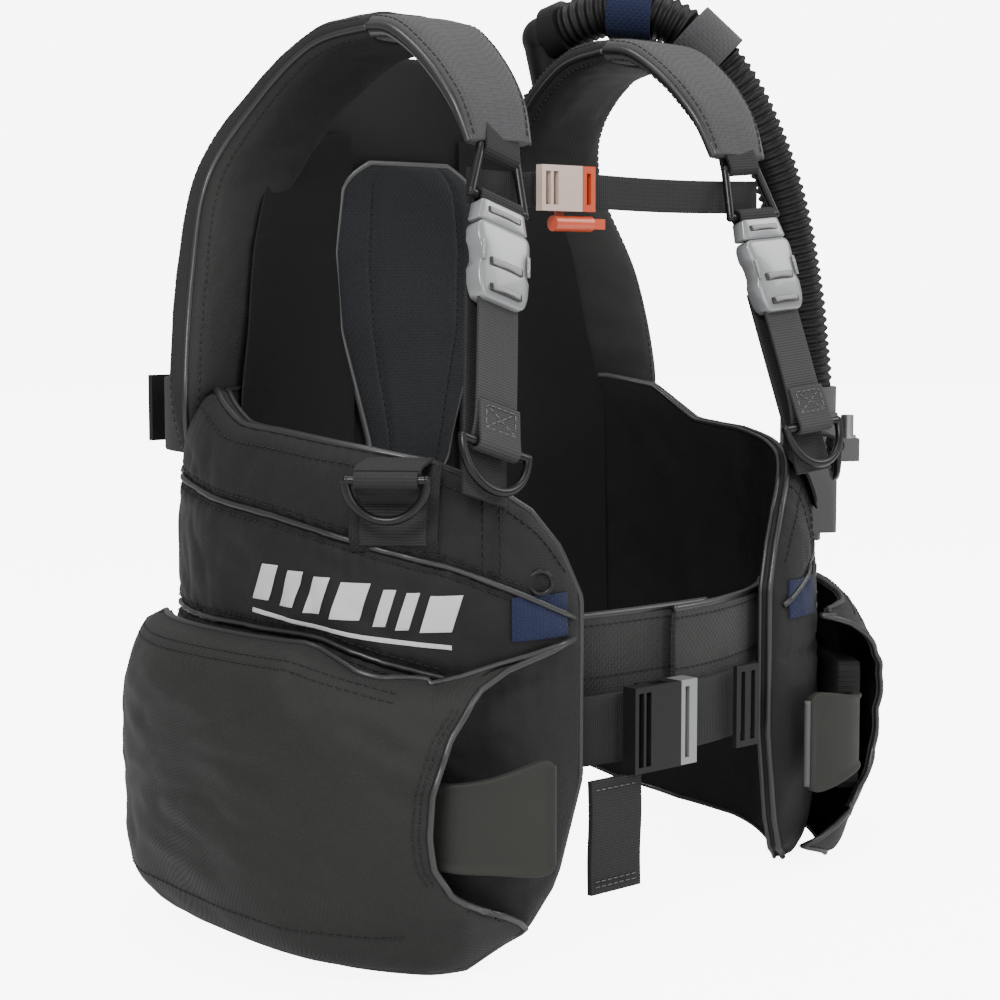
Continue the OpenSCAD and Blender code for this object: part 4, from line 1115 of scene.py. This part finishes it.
# %% Inner band and belt
BAND_TOP, BAND_H = -0.35 * LOBE_DEPTH, 76
BELT_Z = -0.58 * LOBE_DEPTH
TAIL_X = -62
for left, last, deep in ((True, 180, -13), (False, 188, -23)):
    tag = TAG[left]

    def face(u, v, t, last=last, deep=deep, left=left):
        th = mix(last, 125, u)
        z = BAND_TOP - BAND_H + BAND_H * v
        wave = 0.7 * noise.noise(Vector((th * 0.08, z * 0.03, 80.0)))
        return at(left, th, deep + t + wave, z)
    length = Line([face(i / 60, 0.5, 2) for i in range(61)]).length
    band = panel("inner_band_" + tag, 90, 28, lambda u, v: face(u, v, 4), lambda u, v: face(u, v, 0.4),
                 (length, BAND_H * MM), "cummerbund_fabric", "vest", 0.001)
    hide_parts("cummerbund_" + tag)
    for v in (0.03, 0.97):
        edge = [face(i / 60, v, 2.2) for i in range(61)]
        swept("inner_band_edge_%s_%d" % (tag, v > 0.5), [edge], 0.0024, "piping")
    rows = [[face(i / 90, v, 4.2) for i in range(91)] for v in (0.1, 0.9, 0.5)]
    stitches("inner_band_stitches_" + tag, rows)
    stop = 178 if left else 171
    points = [at(left, mix(stop, 148, i / 40), -4, BELT_Z) for i in range(41)]
    belt = ribbon("belt_run_" + tag, points, Vector((0, 0, 0.020)), WEB_T * MM, steps=60, across=8)
    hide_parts("belt_" + tag)
    Line(points).length
    print(band.name, round(length, 4), belt.name, round(Line(points).length, 4))

tail_points = smooth_curve([Vector((TAIL_X, y, z)) * MM for y, z in (
    (-378.6, -190.7), (-379.4, -212), (-378.4, -236), (-378.8, -256.7))], 10)
belt_end = ribbon("belt_end", tail_points, Vector((0.020, 0, 0)), 0.0036, steps=50, across=8)
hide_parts("belt_tail")
Line(tail_points).length
tip = [[Vector((TAIL_X + x, -381.0, z)) * MM for x in (-17, 17)] for z in (-252, -249, -196)]
stitches("belt_end_stitches", tip, "light_trim_and_highlight")

# %% [markdown]
# ## Tank band, hose loops and ring tabs
# The tank band is one long ribbon round the cylinder's place and through the plate's slots. Its
# path is an arc, two straight legs and the run behind the plate, because a plain ring would not
# pass the slots. The hose's two bands and the loops round the D-rings' bars are closed ribbons.

# %% Tank band, hose loops and ring tabs
PLATE_BACK, BAND_MID = -106, 93.6
bend = Vector((60, PLATE_BACK, 0))
touch = math.radians(69.296)
leg = bend + Vector((math.cos(touch), math.sin(touch), 0)) * 77.94
start_angle = math.atan2(leg.y, leg.x)
loop = [Vector((x, PLATE_BACK, 0)) for x in (0, 30, 57)] + [Vector((60.8, -104.6, 0))]
loop += [bend.lerp(leg, i / 6) for i in range(1, 7)]
loop += [Vector((math.cos(a), math.sin(a), 0)) * BAND_MID for a in
         [mix(start_angle, math.pi - start_angle, i / 60) for i in range(1, 60)]]
loop += [Vector((-p.x, p.y, 0)) for p in reversed(loop[:10])]
loop = [p * MM for p in loop]
tank = ribbon("tank_run", loop, Vector((0, 0, 0.025)), 0.0028, steps=220, across=10)
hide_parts("tank_band")
Line(loop).length
print("tank band", round(Line(loop).length, 4), "m round")


def cuff(name, centre, axis, radius, thick, height, look, slot, body="vest"):
    axis = axis.normalized()
    x = axis.orthogonal().normalized()
    y = axis.cross(x)
    circle = [centre + (x * math.cos(a) + y * math.sin(a)) * radius for a in
              [2 * math.pi * 1.03 * i / 64 for i in range(65)]]
    return ribbon(name, circle, axis * (height / 2), thick, look, body, slot, steps=96)


keeper = cuff("hose_band", Vector((122, -210, 270)) * MM, Vector((17, -27, -4)), 0.0189, 0.002,
              0.030, "blue_band", "blue_band")
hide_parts("hose_keeper")
wrap_loop = cuff("hose_loop", Vector((151, -246, 246)) * MM, Vector((21, -20, -27)), 0.0194, 0.0022,
                 0.032, "strap_fabric", "strap_fabric")
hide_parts("hose_wrap")
hook = [Vector(p) * MM for p in ((126, -248, 236), (130, -248, 239), (133, -248, 243))]
ribbon("hose_loop_tab", hook, Vector((0, 0.014, 0.004)), 0.0022, "strap_fabric",
       slot="strap_fabric", steps=8)

RING_TH = 124
tabs = []
for left in (True, False):
    tag = TAG[left]
    back_way = sideways(left, RING_TH) * -1
    spots = [(z, lobe_out(left, RING_TH, z) + 1.6) for z in (-50, -44, -38, -32, -26)]
    spots += [(-20, 36.0), (-14, 36.2), (-8, 35.6), (-5, lobe_out(left, RING_TH, -5) + 2.2)]
    points = smooth_curve([at(left, RING_TH, out, z) for z, out in spots], 5)
    tab = ribbon("ring_tab_" + tag, points, back_way * 0.018, WEB_T * MM, steps=50)
    bar = at(left, RING_TH, LOBE_T + 10, -14)
    cuff("ring_tab_loop_" + tag, bar, back_way, 0.0036, 0.0018, 0.034, "webbing", "webbing")
    tabs.append(tab)
    base = [(z, lobe_out(left, RING_TH, z) + 0.6) for z in (-54, -46, -38, -30, -22, -14, -8)]
    under = smooth_curve([at(left, RING_TH, out, z) for z, out in base], 5)
    ribbon("ring_patch_" + tag, under, back_way * 0.024, 0.0012, "pouch_fabric",
           slot="black_nylon", steps=40)
    # A thin light strip on the tab's top fold is a painted highlight
    bright = [(z, lobe_out(left, RING_TH, z) + 3.2) for z in (-8, -5)]
    across = [at(left, RING_TH, out, z) for z, out in bright]
    ribbon("ring_tab_highlight_" + tag, across, back_way * 0.016, 0.001, "light_trim_and_highlight", slot="webbing",
           steps=6)
for tab in tabs:
    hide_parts("dring_tabs")
print("tabs", [t.name for t in tabs])

# %% [markdown]
# ## Marks and patches on the right lobe
# A printed mark sits between the seams. It is made of plain slanted bars, a generic pattern with
# no letters. Print could be a mask in the material, but thin panels laid on the same cloth keep a
# crisp edge from any distance. A grommet is a small circle spun round its own axis.

# %% Marks and patches
def patch(name, left, corner, nu, nv, raised, thick, look, base=lobe_out):
    def skin(u, v, out):
        th, z = corner(u, v)
        return at(left, th, base(left, th, z) + out, z)
    return panel(name, nu, nv, lambda u, v: skin(u, v, raised + thick), lambda u, v: skin(u, v, raised),
                 (0.03, 0.03), look, "vest", 0.0002)


# The row falls towards the front; each bar is (angle where it starts, width in degrees)
MARK_START, MARK_END, MARK_FALL = 93, 135.4, 0.36
bars = [(93.0, 3.6), (99.0, 3.6), (105.0, 3.6), (111.0, 6.4), (120.0, 2.6), (124.6, 2.6),
        (129.2, 6.2)]
for left in (True, False):
    tag = TAG[left]
    k = LOBE_END[left] / FRONT_TH
    drop = LEFT_DROP if left else 0
    for i, (th0, wide) in enumerate(bars):
        patch("mark_%s_%d" % (tag, i), left,
              lambda u, v: ((th0 + wide * u + 2.2 * v) * k,
                            mix(-84, -64, v) - MARK_FALL * (th0 - MARK_START) - drop),
              6, 8, 0.25, 0.35, "mark_print")
    patch("mark_line_" + tag, left,
          lambda u, v: (mix(MARK_START, MARK_END, u) * k,
                        mix(-91.5, -89, v) - MARK_FALL * (MARK_END - MARK_START) * u - drop),
          30, 2, 0.25, 0.35, "mark_print")
    patch("front_patch_" + tag, left,
          lambda u, v: (mix(146.5, 157.5, u) * k, mix(-104, -80, v) - drop),
          16, 12, 0.3, 0.9, "blue_band")


def ring(name, centre, axis, big, small, look, body="vest"):
    bm = bmesh.new()
    bmesh.ops.create_circle(bm, radius=small, segments=16)
    bmesh.ops.rotate(bm, verts=bm.verts[:], matrix=Matrix.Rotation(math.pi / 2, 3, "X"))
    bmesh.ops.translate(bm, verts=bm.verts[:], vec=(big, 0, 0))
    bmesh.ops.spin(bm, geom=bm.verts[:] + bm.edges[:], axis=(0, 0, 1), cent=(0, 0, 0), angle=2 * math.pi,
                   steps=48, use_merge=True)
    bmesh.ops.remove_doubles(bm, verts=bm.verts[:], dist=1e-6)
    turn = Matrix.Translation(centre) @ axis.to_track_quat("Z", "Y").to_matrix().to_4x4()
    bmesh.ops.transform(bm, matrix=turn, verts=bm.verts[:])
    return keep(name, bm, look, body)


grommet_at = at(False, 152, lobe_out(False, 152, -73) + 0.8, -73)
grommet_way = (at(False, 152, 40, -73) - at(False, 152, 10, -73)).normalized()
ring("grommet", grommet_at, grommet_way, 0.0062, 0.0014, "dark_metal")
print("marks", len(bars) * 2 + 2, "pieces")

# %% [markdown]
# ## Finishes on the CAD parts
# The hard parts keep their CAD shape, so only their finish is set here. Each kind of plastic and
# metal names its parts, and a small bevel on sharp edges catches the light as moulded plastic does.
# Wire is left without one, because its surface is already round.

# %% Finishes on the CAD parts
HARD = {
    "plate_plastic": ["backplate", "hose_elbow", "cam_frame", "cam_lever", "dump_valve_base",
                      "dump_valve_cap", "dump_pull", "waist_socket", "tri_glide"],
    "handle_rubber": ["carry_handle"],
    "hose_rubber": ["mouthpiece"],
    "dark_metal": ["strap_ring_left", "strap_ring_right", "chest_dring_left", "chest_dring_right",
                   "pocket_dring_left", "pocket_dring_right"],
    "silver_plastic": ["waist_plug"],
    "cream_plastic": ["sternum_socket"],
    "red_plastic": ["sternum_plug", "whistle"],
    "grey_plastic": ["hose_collar", "inflator_body"],
    "button_plastic": ["inflate_button", "deflate_button"],
    "nipple_steel": ["lp_nipple"],
}
for look, names in HARD.items():
    for name in names:
        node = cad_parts[name]
        node.data.materials.clear()
        node.data.materials.append(LOOK[look])
        for polygon in node.data.polygons:
            polygon.use_smooth = True
        node.data.set_sharp_from_angle(angle=math.radians(32))
        if look not in ("dark_metal", "nipple_steel"):
            soft = node.modifiers.new("edges", "BEVEL")
            soft.width = 0.0007 if name.startswith(("sternum", "whistle")) else 0.0011
            soft.segments = 2
            soft.limit_method = "ANGLE"
            soft.angle_limit = math.radians(40)
print("CAD parts finished", sum(len(v) for v in HARD.values()))

# %% [markdown]
# ## Floor and light
# The vest stands just clear of a white floor. Large soft lights from the front left and above
# give even light, with a weaker fill from the right. Floor and world glow only for the camera,
# so the ground reads white without washing out the black cloth.

# %% Floor and light
low_corner, high_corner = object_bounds()
bm = bmesh.new()
bmesh.ops.create_grid(bm, x_segments=1, y_segments=1, size=6)
bmesh.ops.translate(bm, verts=bm.verts[:], vec=(0, 0, low_corner.z - 0.0005))
mesh = bpy.data.meshes.new("floor")
bm.to_mesh(mesh)
bm.free()
floor = bpy.data.objects.new("floor", mesh)
bpy.context.scene.collection.objects.link(floor)
white = bpy.data.materials.new("white")
white.use_nodes = True
paper = next(n for n in white.node_tree.nodes if n.type == "BSDF_PRINCIPLED")
paper.inputs["Base Color"].default_value = (0.95, 0.95, 0.95, 1)
paper.inputs["Roughness"].default_value = 0.9
floor_ray = white.node_tree.nodes.new("ShaderNodeLightPath")
glow = maths(white.node_tree, "MULTIPLY", floor_ray.outputs["Is Camera Ray"], 7.2)
paper.inputs["Emission Color"].default_value = (1, 1, 1, 1)
white.node_tree.links.new(glow, paper.inputs["Emission Strength"])
mesh.materials.append(white)

world = bpy.data.worlds.new("studio")
world.use_nodes = True
sky = next(n for n in world.node_tree.nodes if n.type == "BACKGROUND")
sky.inputs[0].default_value = (1, 1, 1, 1)
# The camera sees a brighter white than the vest is lit by
ray = world.node_tree.nodes.new("ShaderNodeLightPath")
brighter = maths(world.node_tree, "MULTIPLY", ray.outputs["Is Camera Ray"], 7.0)
seen = maths(world.node_tree, "ADD", brighter, 0.55)
world.node_tree.links.new(seen, sky.inputs[1])
bpy.context.scene.world = world


def light(name, place, power, size, colour=(1, 1, 1)):
    data = bpy.data.lights.new(name, "AREA")
    data.energy, data.size, data.color = power, size, colour
    lamp = bpy.data.objects.new(name, data)
    bpy.context.scene.collection.objects.link(lamp)
    lamp.location = place
    lamp.rotation_euler = (target - Vector(place)).to_track_quat("-Z", "Y").to_euler()


light("key", (-1.9, -1.5, 1.6), 60, 0.8)
light("front", (-0.2, -2.4, 0.6), 16, 1.0)
light("fill", (1.6, -1.2, 1.2), 20, 1.0)
light("top", (0.0, -0.2, 2.2), 30, 1.2)
print("floor at", round(low_corner.z, 4))
